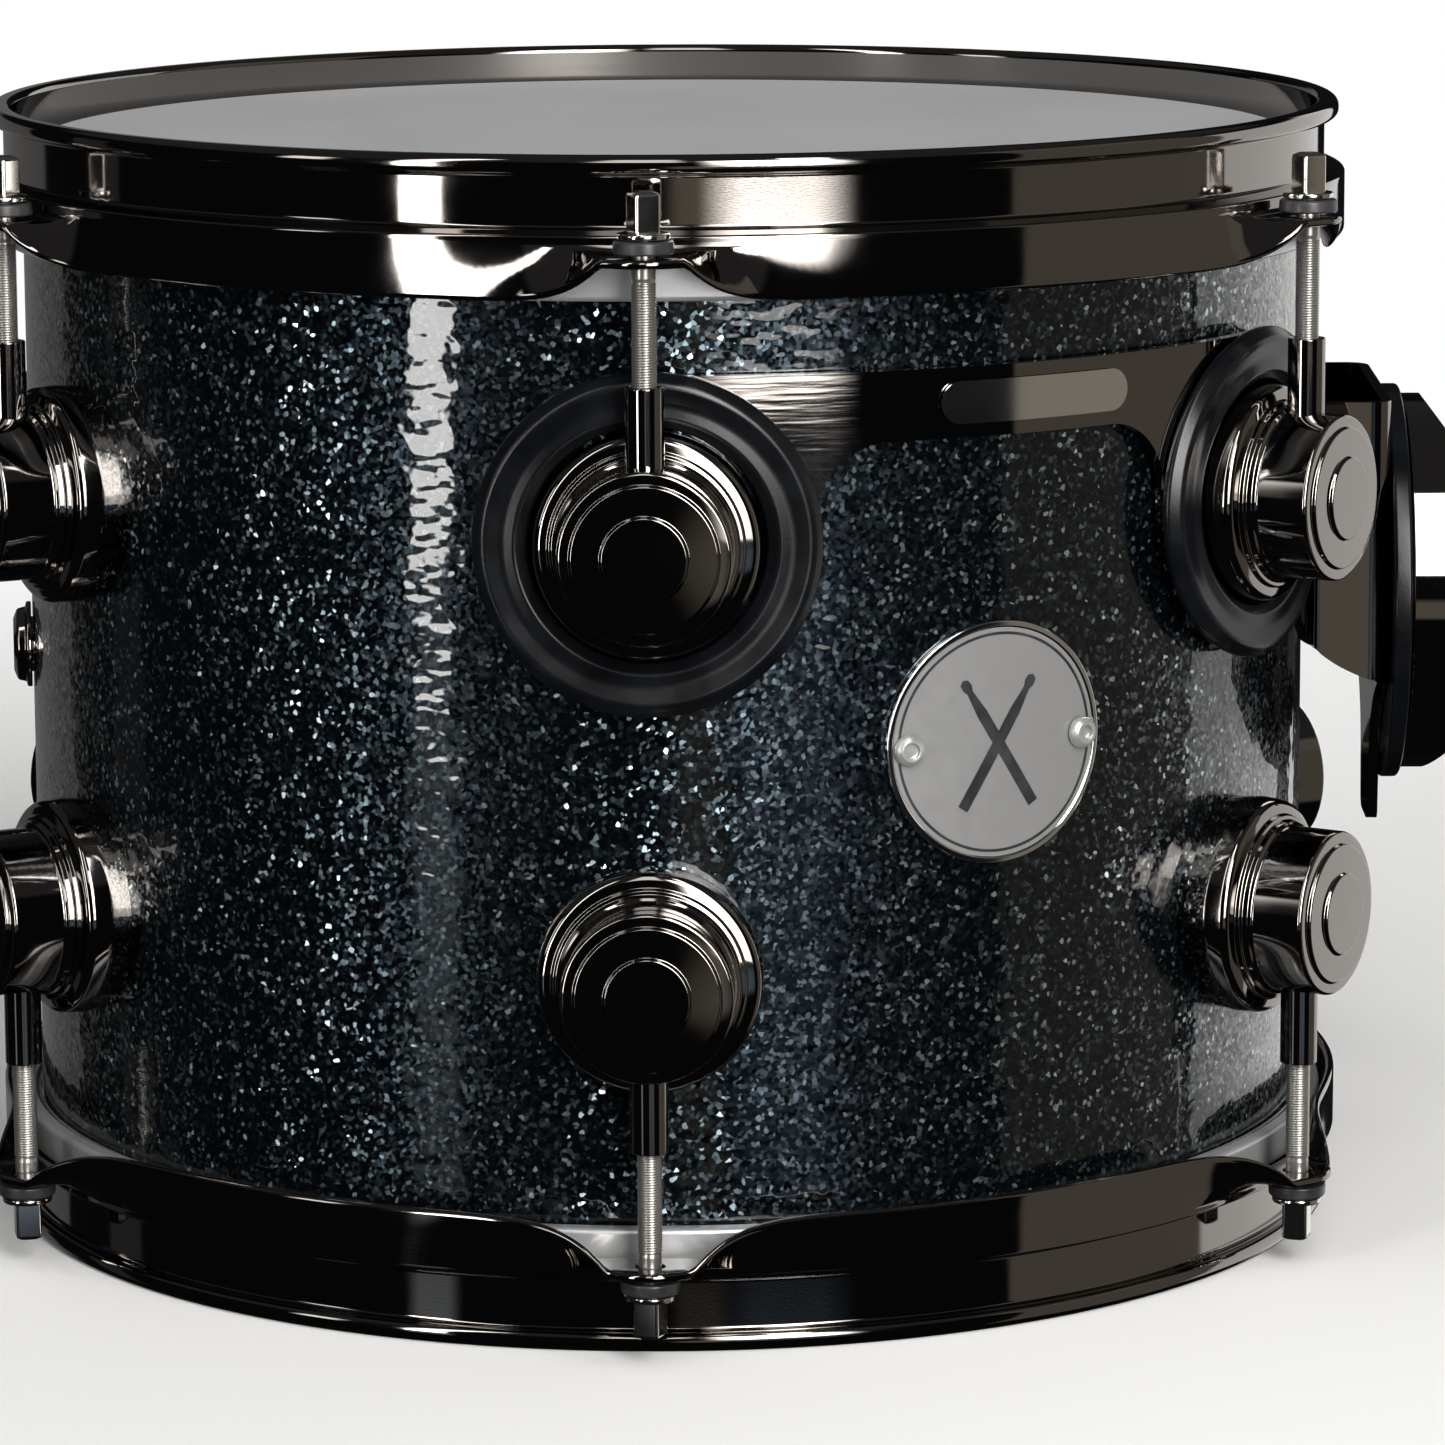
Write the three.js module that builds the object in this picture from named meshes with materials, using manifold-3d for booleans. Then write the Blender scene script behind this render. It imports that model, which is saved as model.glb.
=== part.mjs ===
// A 12 inch rack tom: wrapped shell, two heads with flesh hoops, two flanged hoops, twelve round lugs
// with their tension rods, and a suspension mount that hangs the drum from four of the lugs.
// Millimetres, +Z along the drum's axis towards the batter (played) side. Each piece is drawn about
// the drum's mid-height and lifted at the end, so z = 0 is the outer face of the resonant head.
// Angles run round the drum from -Y towards +X, and the mount faces +X.
import * as THREE from 'three';
import { mergeVertices } from 'three/addons/utils/BufferGeometryUtils.js';
import Module from 'manifold-3d';

const wasm = await Module();
wasm.setup();

// ---- driving dimensions ----
const drumDepth = 248;          // outer face of one head to outer face of the other
const drumRadius = 152.4;       // outside of the finish wrap, a 12 inch shell
const gap = 0.3;                // left between pieces that touch
const roundSides = 48;          // sides of every large ring

const wrapThickness = 1;
const shellThickness = 6.7;
const filmThickness = 0.8;
const filmFlatRadius = 148.5;
const filmBend = 3.4;           // the film bends down to its collar over this height
const filmClearance = 0.65;     // between the film's collar and the flesh hoop
const collarDrop = 19;          // how far the film's collar reaches down beside the shell
const shellEdgeDrop = 6;        // below the head: where the bearing edge starts
const bearingRadius = 147.5;    // crest of the bearing edge
const fleshTop = 11.2;          // flesh hoop, below the head's outer face
const batterFleshBottom = 23.6;
const resonantFleshBottom = 19.4;
const fleshInner = 154.2;
const fleshOuter = 158;

const lugsPerHead = 6;
const lugHeight = 48;           // lug centre above mid-height
const rodCircle = 170;
const lugBaseRadius = 25;
const turretRadius = 19;
const lugFace = 181.6;          // front of the lug from the drum's axis
const discRadius = 9.2;         // raised disc in the middle of the face
const discRise = 1.2;
const shoulderLow = 162;        // the lug narrows to its turret between these distances from the axis
const shoulderHigh = 165.6;
const tubeReach = 36;
const tubeRadius = 4.3;
const rodRadius = 2.75;
const rodEnd = 62;              // inner end of a rod, above mid-height
const squareSide = 5.9;
const squareHeight = 9;
const washerRadius = 6.65;
const washerThickness = 2.9;
const rodFlangeRadius = 5.75;
const rodFlangeThickness = 1.3;

const steel = 2.3;              // hoop metal
const hoopSides = 60;
const crowding = 0.7;           // how strongly the hoop's sides gather at the ears
const rimRise = 8.3;            // rim crest above the head
const rimEdgeRise = 6.4;        // widest part of the rolled rim
const rimUnderside = 4;
const bandDrop = 7.4;           // foot of the upright band, below the head
const ridgeDrop = 8.8;          // the ridge under the band
const bandInner = 154.3;
const bandOuter = bandInner + steel;
const rimOuter = 159.9;
const skirtOuter = 161.5;
const skirtCorner = 11.8;       // below the head: where the skirt hangs from, and the top of an ear
const skirtLength = 10.6;
const earExtra = 4.5;           // an ear reaches this much further than the skirt hangs
const earHalfWidth = 8.5;
const earSpread = 10;           // how far round the rim that extra reach fades away
const skirtSpread = 15.8;       // how far round the rim the skirt turns down
const skirtEase = 1.1;          // how gently that turn begins

const plateThickness = 2.5;     // suspension plate
const plateRadius = 155.85;     // its mid-surface round the drum
const bridgeReach = 169.75;     // its mid-surface where it bridges out to the mount
const bridgeHalfWidth = 33;
const bendRadius = 4;
const plateRingRadius = 37;
const plateHoleRadius = 29;
const stripLow = 69;            // lower edge of the strip between lugs
const stripFillet = 17;         // from the strip's lower edge into a lug's ring
const bridgeTop = 63;
const tongueFoot = -42;         // lower end of the tongue under the bridge
const tongueHalfWidth = 10;
const grommetRadius = 38;
const grommetRise = 4.2;        // front of a grommet above the plate
const grommetBack = -2.6;       // its lip behind the plate's mid-surface

const mountHeight = 15;         // centre of the arm mount above mid-height
const mountRadius = 45;
const castingBack = 175.8;
const castingFace = 189.5;
const castingCorner = 180.6;    // its top and bottom are cut away from here
const castingCut = 12;          // to this far in at the face
const armRadius = 6.6;          // for a 12.7 mm arm
const armAxis = 200.3;          // the arm's axis from the drum's axis
const bossHalfWidth = 22;
const jawHalfHeight = 20;
const jawDepth = 10.5;
const hingeAcross = 26.5;
const hingeRadius = 4.5;
const pinRadius = 2;
const screwAcross = -15;
const screwRadius = 3;
const screwSlack = 3.2;         // the wing screw stands this far off the jaw
const screwTip = 192;           // inner end of the wing screw, from the drum's axis
const collarRadius = 6;
const wingHalfSpan = 19;
const wingThickness = 3.6;

const badgeAngle = 30;
const badgeRadius = 27.2;
const badgeScrewSpacing = 44.2;
const badgeScrewRadius = 1.6;
const badgeScrewHead = 3.6;
const badgeFace = 1.2;          // front of the badge above the wrap
const labelAngle = 32.9;
const labelHeight = 76.8;
const labelHalfLength = 24.7;
const labelHalfWidth = 4.7;
const ventAngle = -82.7;
const ventHeight = 3.2;
const ventBarrel = 6.6;
const ventBore = 4.5;
const ventFlange = 10.2;
const ventRise = 4.4;           // front of the vent above the wrap
const ventEnd = 139;            // inner end of its barrel, from the drum's axis

// ---- worked out from them ----
const halfDepth = drumDepth / 2;
const rodSeat = halfDepth - skirtCorner + gap;
const rodFlange = rodSeat + washerThickness + gap;
const sectorAngle = 360 / lugsPerHead;
const wrapInner = drumRadius - wrapThickness;
const shellOuter = wrapInner - gap;
const shellInner = shellOuter - shellThickness;

// ---- helpers ----
const radians = THREE.MathUtils.degToRad;
const vector = (x, y) => new THREE.Vector2(x, y);

// Turns a profile of [radius, height] pairs about Z.
function turned(profile, sides) {
  const points = profile.map(([radius, height]) => vector(radius, height));
  return new THREE.LatheGeometry(points, sides).rotateX(Math.PI / 2);
}

// The same about the outward direction at angle 0: heights are then distances from the drum's axis.
function turnedOutward(profile, sides) {
  return turned(profile, sides).rotateX(Math.PI / 2);
}

function rod(radius, low, high, sides) {
  return turned([[0, low], [radius, low], [radius, high], [0, high]], sides);
}

function block(low, high) {
  const size = high.map((value, i) => value - low[i]);
  const centre = high.map((value, i) => (value + low[i]) / 2);
  return new THREE.BoxGeometry(...size).translate(...centre);
}

function solid(geometry) {
  const plain = geometry.clone();
  plain.deleteAttribute('normal');
  plain.deleteAttribute('uv');
  const merged = mergeVertices(plain, 1e-4);
  return new wasm.Manifold(new wasm.Mesh({
    numProp: 3,
    vertProperties: merged.attributes.position.array,
    triVerts: new Uint32Array(merged.index.array),
  }));
}

function geometryOf(shape) {
  const mesh = shape.getMesh();
  const geometry = new THREE.BufferGeometry();
  geometry.setAttribute('position', new THREE.BufferAttribute(mesh.vertProperties, 3));
  geometry.setIndex(new THREE.BufferAttribute(mesh.triVerts, 1));
  return geometry;
}

function joined(...geometries) {
  return geometryOf(geometries.map(solid).reduce((sum, shape) => sum.add(shape)));
}

function cut(geometry, ...cutters) {
  return geometryOf(cutters.map(solid).reduce((rest, shape) => rest.subtract(shape), solid(geometry)));
}

// Moves every corner of a geometry by a rule.
function reshaped(geometry, rule) {
  const result = geometry.clone();
  const corners = result.attributes.position;
  const corner = new THREE.Vector3();
  for (let i = 0; i < corners.count; i += 1) {
    rule(corner.fromBufferAttribute(corners, i));
    corners.setXYZ(i, corner.x, corner.y, corner.z);
  }
  return result;
}

// A copy for the other head: half a turn about the Y axis.
const forOtherHead = (geometry) => geometry.clone().rotateY(Math.PI);

// ---- flat sheets, drawn in X (along the drum's surface) and Y (up), then wrapped round it ----
function crossing(from, to, x) {
  const [left, right] = from.x < to.x ? [from, to] : [to, from];
  return left.clone().lerp(right, (x - left.x) / (right.x - left.x)).setX(x);
}

function splitTriangle(corners, x) {
  const left = [];
  const right = [];
  corners.forEach((corner, i) => {
    const next = corners[(i + 1) % 3];
    if (corner.x <= x) left.push(corner);
    if (corner.x >= x) right.push(corner);
    if ((corner.x - x) * (next.x - x) < 0) {
      const point = crossing(corner, next, x);
      left.push(point);
      right.push(point);
    }
  });
  const fan = (points) => points.slice(2).map((point, i) => [points[0], points[i + 1], point]);
  return [...fan(left), ...fan(right)];
}

function trianglesOf(geometry) {
  const { position } = (geometry.index ? geometry.toNonIndexed() : geometry).attributes;
  return Array.from({ length: position.count / 3 }, (_, i) => [0, 1, 2].map(
    (k) => new THREE.Vector3().fromBufferAttribute(position, 3 * i + k),
  ));
}

// Splits a sheet's triangles along the lines x = station, so that it can bend there.
function scored(triangles, stations) {
  return stations.reduce((pieces, x) => pieces.flatMap((corners) => splitTriangle(corners, x)), triangles);
}

const fromTriangles = (triangles) => new THREE.BufferGeometry().setFromPoints(triangles.flat());

function stationsBetween(low, high, step) {
  const count = Math.ceil((high - low) / step);
  return Array.from({ length: count + 1 }, (_, i) => low + ((high - low) * i) / count);
}

// Wraps a sheet of the drum's curvature: X is arc length at the given radius, Z the height above it.
function wrapped(geometry, radius) {
  return reshaped(geometry, (p) => {
    const angle = p.x / radius;
    const reach = radius + p.z;
    p.set(reach * Math.sin(angle), -reach * Math.cos(angle), p.y);
  });
}

function extruded(outline, thickness) {
  return new THREE.ExtrudeGeometry(outline, { depth: thickness, bevelEnabled: false, curveSegments: 6 });
}

// ---- shell, wrap and heads ----
function shell() {
  const crest = halfDepth - filmThickness - gap;
  const outerEdge = halfDepth - shellEdgeDrop;
  const innerEdge = crest - (bearingRadius - shellInner);
  const profile = [
    [shellInner, -innerEdge], [bearingRadius, -crest], [shellOuter, -outerEdge],
    [shellOuter, outerEdge], [bearingRadius, crest], [shellInner, innerEdge], [shellInner, -innerEdge],
  ];
  return cut(turned(profile, roundSides), ...wallHoles());
}

function finishWrap() {
  const edge = halfDepth - shellEdgeDrop;
  const profile = [
    [wrapInner, -edge], [drumRadius, -edge], [drumRadius, edge], [wrapInner, edge], [wrapInner, -edge],
  ];
  return cut(turned(profile, roundSides), ...wallHoles());
}

function head() {
  const collarOuter = fleshInner - filmClearance;
  const collarInner = collarOuter - filmThickness;
  const top = halfDepth;
  return turned([
    [0, top - filmThickness], [filmFlatRadius, top - filmThickness], [collarInner, top - filmBend - 1],
    [collarInner, top - collarDrop], [collarOuter, top - collarDrop], [collarOuter, top - filmBend],
    [filmFlatRadius + 0.7, top], [0, top],
  ], roundSides);
}

function fleshHoop(drop) {
  const top = halfDepth - fleshTop;
  const bottom = halfDepth - drop;
  return turned([
    [fleshInner, bottom], [fleshOuter, bottom], [fleshOuter, top], [fleshInner, top], [fleshInner, bottom],
  ], roundSides);
}

// ---- hoops ----
// How far the skirt has turned down, at a distance round the rim from the nearest ear's middle.
function skirtDrop(fromEar) {
  const beyond = Math.max(fromEar - earHalfWidth, 0);
  return (Math.PI / 2) * (1 - Math.exp(-((beyond / skirtSpread) ** skirtEase)));
}

// The plain hoop's sides are gathered at the ears, then its skirt is pressed out flat there.
function pressed(p) {
  const even = Math.atan2(p.x, -p.y);
  const angle = even - (crowding / lugsPerHead) * Math.sin(lugsPerHead * even);
  const sector = radians(sectorAngle);
  const fromEar = Math.abs(angle - Math.round(angle / sector) * sector) * rodCircle;
  let radius = Math.hypot(p.x, p.y);
  if (p.z < halfDepth - skirtCorner - steel - 1) {
    const inside = radius < skirtOuter - steel / 2 ? steel : 0;
    const drop = skirtDrop(fromEar);
    const length = skirtLength + earExtra * Math.exp(-((fromEar / earSpread) ** 2));
    radius = skirtOuter + length * Math.cos(drop) - inside * Math.sin(drop);
    p.z = halfDepth - skirtCorner - length * Math.sin(drop) - inside * Math.cos(drop);
  }
  p.set(radius * Math.sin(angle), -radius * Math.cos(angle), p.z);
}

function hoop() {
  const top = halfDepth;
  const skirtEnd = top - skirtCorner - skirtLength;
  const profile = [
    [bandInner, top + rimRise - 1.2], [bandInner, top - bandDrop - 2.5],
    [skirtOuter - steel, top - ridgeDrop - 2.1], [skirtOuter - steel, top - skirtCorner - steel],
    [skirtOuter - steel, skirtEnd], [skirtOuter, skirtEnd], [skirtOuter, top - skirtCorner],
    [skirtOuter - 0.9, top - ridgeDrop], [bandOuter, top - bandDrop], [bandOuter, top + rimUnderside],
    [rimOuter - 0.6, top + rimUnderside], [rimOuter, top + rimEdgeRise], [rimOuter - 1.7, top + rimRise],
    [bandInner + 1.1, top + rimRise], [bandInner, top + rimRise - 1.2],
  ];
  const ring = reshaped(turned(profile, hoopSides), pressed);
  const holes = Array.from({ length: lugsPerHead }, (_, i) => rod(rodRadius + 0.65, top - 20, top, 10)
    .translate(0, -rodCircle, 0)
    .rotateZ(radians(i * sectorAngle)));
  return cut(ring, ...holes);
}

// ---- lugs, rods and washers, drawn at angle 0 on the batter side ----
function lug() {
  const seat = drumRadius - 3;
  const body = turnedOutward([
    [0, seat], [lugBaseRadius, seat], [lugBaseRadius, shoulderLow], [turretRadius, shoulderHigh],
    [turretRadius, lugFace - discRise], [discRadius, lugFace - discRise], [discRadius, lugFace],
    [0, lugFace],
  ], 14).translate(0, 0, lugHeight);
  const tube = rod(tubeRadius, lugHeight, lugHeight + tubeReach, 10).translate(0, -rodCircle, 0);
  const bore = rod(rodRadius + 0.4, rodEnd - 2, halfDepth, 10).translate(0, -rodCircle, 0);
  const drum = rod(drumRadius + gap, 0, halfDepth, roundSides);
  return cut(joined(body, tube), bore, drum);
}

function tensionRod() {
  const flangeTop = rodFlange + rodFlangeThickness;
  const shank = turned([
    [0, rodEnd], [rodRadius, rodEnd], [rodRadius, rodFlange], [rodFlangeRadius, rodFlange],
    [rodFlangeRadius, flangeTop], [0, flangeTop],
  ], 10);
  const corner = squareSide / Math.SQRT2;
  const square = turned([
    [0, flangeTop - 1], [corner, flangeTop - 1], [corner, flangeTop + squareHeight - 1.2],
    [corner - 1.2, flangeTop + squareHeight], [0, flangeTop + squareHeight],
  ], 4).rotateZ(Math.PI / 4);
  return joined(shank, square).translate(0, -rodCircle, 0);
}

function rodWasher() {
  const hole = rodRadius + 0.5;
  const top = rodSeat + washerThickness;
  return turned([
    [hole, rodSeat], [washerRadius, rodSeat], [washerRadius, top], [hole, top], [hole, rodSeat],
  ], 10).translate(0, -rodCircle, 0);
}

// ---- suspension plate ----
// Seen from above, the plate runs from the middle of the bridge to the last lug as straights and arcs.
const bendCentre = plateRadius + bendRadius;
const bendAcross = bridgeHalfWidth + 2 * bendRadius;
const bendOut = Math.sqrt(bendCentre ** 2 - bendAcross ** 2);
const lastBend = Math.atan2(bendOut, bendAcross);
const planPieces = [
  { length: bridgeHalfWidth, turn: 0 },
  { length: (bendRadius * Math.PI) / 2, turn: -Math.PI / 2 },
  { length: bridgeReach - bendRadius - bendOut, turn: 0 },
  { length: bendRadius * lastBend, turn: lastBend },
  { length: plateRadius * (lastBend + radians(16)), turn: -(lastBend + radians(16)) },
];
const wrapStart = planPieces.slice(0, 4).reduce((sum, piece) => sum + piece.length, 0);
const alongAt = (degrees) => wrapStart + plateRadius * (lastBend - radians(degrees));

// The plan point and heading at a distance along the plate from the middle of the bridge.
function planAt(distance) {
  const at = vector(bridgeReach, 0);
  let heading = -Math.PI / 2;
  let left = distance;
  for (const { length, turn } of planPieces) {
    const run = Math.min(left, length);
    const bent = (turn * run) / length;
    const chord = turn === 0 ? run : (2 * length * Math.sin(bent / 2)) / turn;
    at.x += chord * Math.cos(heading + bent / 2);
    at.y += chord * Math.sin(heading + bent / 2);
    heading += bent;
    left -= run;
    if (left <= 0) break;
  }
  return { at, heading };
}

// The near half's outline, in lengths that meet on upright lines.
function plateOutlines() {
  const near = alongAt(60);
  const far = alongAt(0);
  const top = lugHeight + plateRingRadius;
  const bridgeEnd = vector(52, 5);
  const filletCentre = stripLow - stripFillet;
  const filletRise = filletCentre - lugHeight;
  const filletRun = Math.sqrt((plateRingRadius + stripFillet) ** 2 - filletRise ** 2);
  const filletAngle = Math.atan2(filletRise, filletRun);

  const bridge = new THREE.Shape();
  bridge.moveTo(0, bridgeTop);
  bridge.lineTo(0, tongueFoot);
  bridge.lineTo(tongueHalfWidth - 4, tongueFoot);
  bridge.quadraticCurveTo(tongueHalfWidth, tongueFoot, tongueHalfWidth, tongueFoot + 4);
  bridge.lineTo(tongueHalfWidth + 1, -30);
  bridge.quadraticCurveTo(12, -10, 38, -3);
  bridge.quadraticCurveTo(47, 0, bridgeEnd.x, bridgeEnd.y);
  bridge.lineTo(bridgeEnd.x, bridgeTop);

  const nearRing = new THREE.Shape();
  nearRing.moveTo(bridgeEnd.x, bridgeTop);
  nearRing.lineTo(bridgeEnd.x, bridgeEnd.y);
  nearRing.absarc(near, lugHeight, plateRingRadius, -Math.PI * 0.72, filletAngle, false);
  nearRing.absarc(near + filletRun, filletCentre, stripFillet, Math.PI + filletAngle, Math.PI / 2, true);
  nearRing.lineTo(near + filletRun, top);
  nearRing.lineTo(near, top);
  nearRing.quadraticCurveTo(78, top, 62, 68);
  nearRing.quadraticCurveTo(58, bridgeTop, bridgeEnd.x, bridgeTop);

  const strip = new THREE.Shape();
  strip.moveTo(near + filletRun, stripLow);
  strip.lineTo(far - filletRun, stripLow);
  strip.lineTo(far - filletRun, top);
  strip.lineTo(near + filletRun, top);

  const farRing = new THREE.Shape();
  farRing.moveTo(far - filletRun, stripLow);
  farRing.absarc(far - filletRun, filletCentre, stripFillet, Math.PI / 2, -filletAngle, true);
  farRing.absarc(far, lugHeight, plateRingRadius, -Math.PI - filletAngle, Math.PI / 2, false);
  farRing.lineTo(far - filletRun, top);

  for (const [ring, centre] of [[nearRing, near], [farRing, far]]) {
    const hole = new THREE.Path();
    hole.absarc(centre, lugHeight, plateHoleRadius, 0, 2 * Math.PI, true);
    ring.holes.push(hole);
  }
  const ends = [0, bridgeEnd.x, near + filletRun, far - filletRun];
  return { outlines: [bridge, nearRing, strip, farRing], ends };
}

function bendStations() {
  let start = 0;
  return planPieces.flatMap(({ length, turn }) => {
    const finest = length > plateRadius ? radians(7.5) : radians(45);
    const steps = Math.max(1, Math.ceil(Math.abs(turn) / finest));
    const stations = Array.from({ length: steps }, (_, i) => start + (length * (i + 1)) / steps);
    start += length;
    return stations;
  });
}

function suspensionPlate() {
  const { outlines, ends } = plateOutlines();
  const isEnd = (corners) => ends.some((x) => corners.every((corner) => Math.abs(corner.x - x) < 1e-3));
  const middle = -plateThickness / 2;
  const sheets = outlines.map((outline) => extruded(outline, plateThickness).translate(0, 0, middle));
  const walls = sheets.flatMap(trianglesOf).filter((corners) => !isEnd(corners));
  const half = reshaped(fromTriangles(scored(walls, bendStations())), (p) => {
    const { at, heading } = planAt(Math.max(p.x, 0));
    p.set(at.x - Math.sin(heading) * p.z, at.y + Math.cos(heading) * p.z, p.y);
  });
  const mirrored = trianglesOf(half);
  const near = mirrored.map((corners) => [...corners].reverse());
  const far = mirrored.map((corners) => corners.map(
    (corner) => new THREE.Vector3(corner.x, -corner.y, corner.z),
  ));
  return fromTriangles([...near, ...far]);
}

function grommet() {
  const front = plateThickness / 2 + gap;
  const neck = plateHoleRadius - 1.5;
  const bore = lugBaseRadius + 1.2;
  const ring = turned([
    [bore, grommetBack], [neck, grommetBack], [neck, front], [grommetRadius, front],
    [grommetRadius, front + 1.8], [grommetRadius - 3, front + 4], [bore + 1.6, front + grommetRise],
    [bore, grommetBack],
  ], 18);
  return wrapped(ring, plateRadius).translate(0, 0, lugHeight);
}

// ---- arm mount on the bridge, drawn with its axis along +X ----
function mountGasket() {
  const back = bridgeReach + plateThickness / 2 + gap;
  return turned([[0, back], [mountRadius + 2.3, back], [mountRadius + 2.3, castingBack - gap],
    [0, castingBack - gap]], 28).rotateY(Math.PI / 2).translate(0, 0, mountHeight);
}

const jawLow = mountHeight - jawHalfHeight;
const jawHigh = mountHeight + jawHalfHeight;
const knuckle = 10;             // height of each of the casting's two hinge knuckles

function armBore() {
  return rod(armRadius, jawLow - 5, jawHigh + 5, 20).translate(armAxis, 0, 0);
}

function hingeBarrel(low, high, radius) {
  return rod(radius, low, high, 12).translate(armAxis, hingeAcross, 0);
}

function screwHole(radius, from) {
  return turned([[0, from], [radius, from], [radius, 230], [0, 230]], 12)
    .rotateY(Math.PI / 2).translate(0, screwAcross, mountHeight);
}

// The corner cut away from the top of the casting, lying along Y.
function castingWedge() {
  const outline = new THREE.Shape([
    vector(castingCorner, mountRadius), vector(castingFace, mountRadius - castingCut),
    vector(castingFace + 1, mountRadius - castingCut), vector(castingFace + 1, mountRadius + 1),
    vector(castingCorner, mountRadius + 1),
  ]);
  return extruded(outline, 2 * mountRadius).translate(0, 0, -mountRadius).rotateX(Math.PI / 2);
}

function mountCasting() {
  const wedge = castingWedge();
  const disc = cut(turned([
    [0, castingBack], [mountRadius, castingBack], [mountRadius, castingFace], [0, castingFace],
  ], 28).rotateY(Math.PI / 2), wedge, wedge.clone().rotateX(Math.PI)).translate(0, 0, mountHeight);
  const faceX = armAxis - gap;
  const boss = block([castingFace - 3, -bossHalfWidth, jawLow], [faceX, bossHalfWidth, jawHigh]);
  const arms = [[jawLow, jawLow + knuckle], [jawHigh - knuckle, jawHigh]].map(([low, high]) => joined(
    block([castingFace - 3, 18, low], [armAxis - 1, hingeAcross, high]),
    hingeBarrel(low, high, hingeRadius),
  ));
  const pinHole = hingeBarrel(jawLow - 5, jawHigh + 5, pinRadius + gap);
  const jawRoom = hingeBarrel(jawLow + knuckle, jawHigh - knuckle, hingeRadius + 0.6);
  const screwRoom = screwHole(screwRadius + gap, screwTip - 1);
  return cut(joined(disc, boss, ...arms), armBore(), pinHole, jawRoom, screwRoom);
}

function clampJaw() {
  const low = jawLow + knuckle + gap;
  const high = jawHigh - knuckle - gap;
  const face = armAxis + jawDepth;
  const plan = new THREE.Shape();
  plan.moveTo(armAxis + gap, -bossHalfWidth);
  plan.lineTo(face - 4.5, -bossHalfWidth);
  plan.quadraticCurveTo(face, -bossHalfWidth, face, -18);
  plan.lineTo(face, 12);
  plan.quadraticCurveTo(face, 20, armAxis + 4, 21.3);
  plan.lineTo(armAxis + gap, 21.3);
  const body = extruded(plan, 2 * jawHalfHeight).translate(0, 0, jawLow);
  const arm = block([armAxis + gap, 18, low], [armAxis + 4, hingeAcross, high]);
  const eye = hingeBarrel(low, high, hingeRadius);
  const pinHole = hingeBarrel(low - 5, high + 5, pinRadius + gap);
  const slot = joined(
    screwHole(screwRadius + 0.8, armAxis - 5),
    screwHole(screwRadius + 0.8, armAxis - 5).translate(0, 0.9, 0),
  );
  return cut(joined(body, arm, eye), armBore(), pinHole, slot);
}

function hingePin() {
  return hingeBarrel(jawLow - 1.5, jawHigh + 1.5, pinRadius);
}

function wingScrew() {
  const collar = armAxis + jawDepth + screwSlack;
  const stem = turned([
    [0, screwTip], [screwRadius, screwTip], [screwRadius, collar], [collarRadius, collar],
    [collarRadius, collar + 3], [4.5, collar + 12], [0, collar + 12],
  ], 12).rotateY(Math.PI / 2);
  const wing = new THREE.Shape();
  wing.moveTo(collar + 2, -4);
  wing.quadraticCurveTo(collar + 8, -wingHalfSpan - 1, collar + 16, -wingHalfSpan);
  wing.quadraticCurveTo(collar + 20, -17, collar + 15, -9);
  wing.quadraticCurveTo(collar + 11, -4, collar + 11, 0);
  wing.quadraticCurveTo(collar + 11, 4, collar + 15, 9);
  wing.quadraticCurveTo(collar + 20, 17, collar + 16, wingHalfSpan);
  wing.quadraticCurveTo(collar + 8, wingHalfSpan + 1, collar + 2, 4);
  const settings = { depth: wingThickness, bevelEnabled: false, curveSegments: 3 };
  const blade = new THREE.ExtrudeGeometry(wing, settings)
    .translate(0, 0, -wingThickness / 2).rotateX(Math.PI / 2);
  return joined(stem, blade).translate(0, screwAcross, mountHeight);
}

// ---- small pieces on the shell ----
function badge() {
  const disc = turned([[0, gap], [badgeRadius, gap], [badgeRadius, badgeFace], [0, badgeFace]], 24);
  const hole = rod(badgeScrewRadius + gap, -1, 3, 8);
  const holes = [-0.5, 0.5].map((side) => hole.clone().translate(side * badgeScrewSpacing, 0, 0));
  const stations = stationsBetween(-badgeRadius, badgeRadius, 10).slice(1, -1);
  const sheet = fromTriangles(scored(trianglesOf(cut(disc, ...holes)), stations));
  return wrapped(sheet, drumRadius).rotateZ(radians(badgeAngle));
}

function atBadgeScrew(geometry, side) {
  const across = (side * badgeScrewSpacing) / 2;
  return geometry.rotateZ(radians(badgeAngle) + across / drumRadius);
}

function badgeScrew(side) {
  const seat = drumRadius + badgeFace + gap;
  const tip = shellOuter - 9;
  const screw = turnedOutward([
    [0, tip], [badgeScrewRadius, tip], [badgeScrewRadius, seat], [badgeScrewHead, seat],
    [badgeScrewHead - 0.2, seat + 0.9], [2.2, seat + 1.9], [0, seat + 1.9],
  ], 12);
  return atBadgeScrew(screw, side);
}

function mountLabel() {
  const outline = new THREE.Shape();
  const straight = labelHalfLength - labelHalfWidth;
  outline.absarc(-straight, 0, labelHalfWidth, Math.PI / 2, 1.5 * Math.PI, false);
  outline.absarc(straight, 0, labelHalfWidth, -Math.PI / 2, Math.PI / 2, false);
  const face = plateRadius + plateThickness / 2;
  const sheet = extruded(outline, 0.4).translate(0, 0, gap);
  const stations = stationsBetween(-labelHalfLength, labelHalfLength, 10).slice(1, -1);
  const label = fromTriangles(scored(trianglesOf(sheet), stations));
  return wrapped(label, face).translate(0, 0, labelHeight).rotateZ(radians(labelAngle));
}

function atVent(geometry) {
  return geometry.translate(0, 0, ventHeight).rotateZ(radians(ventAngle));
}

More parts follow.
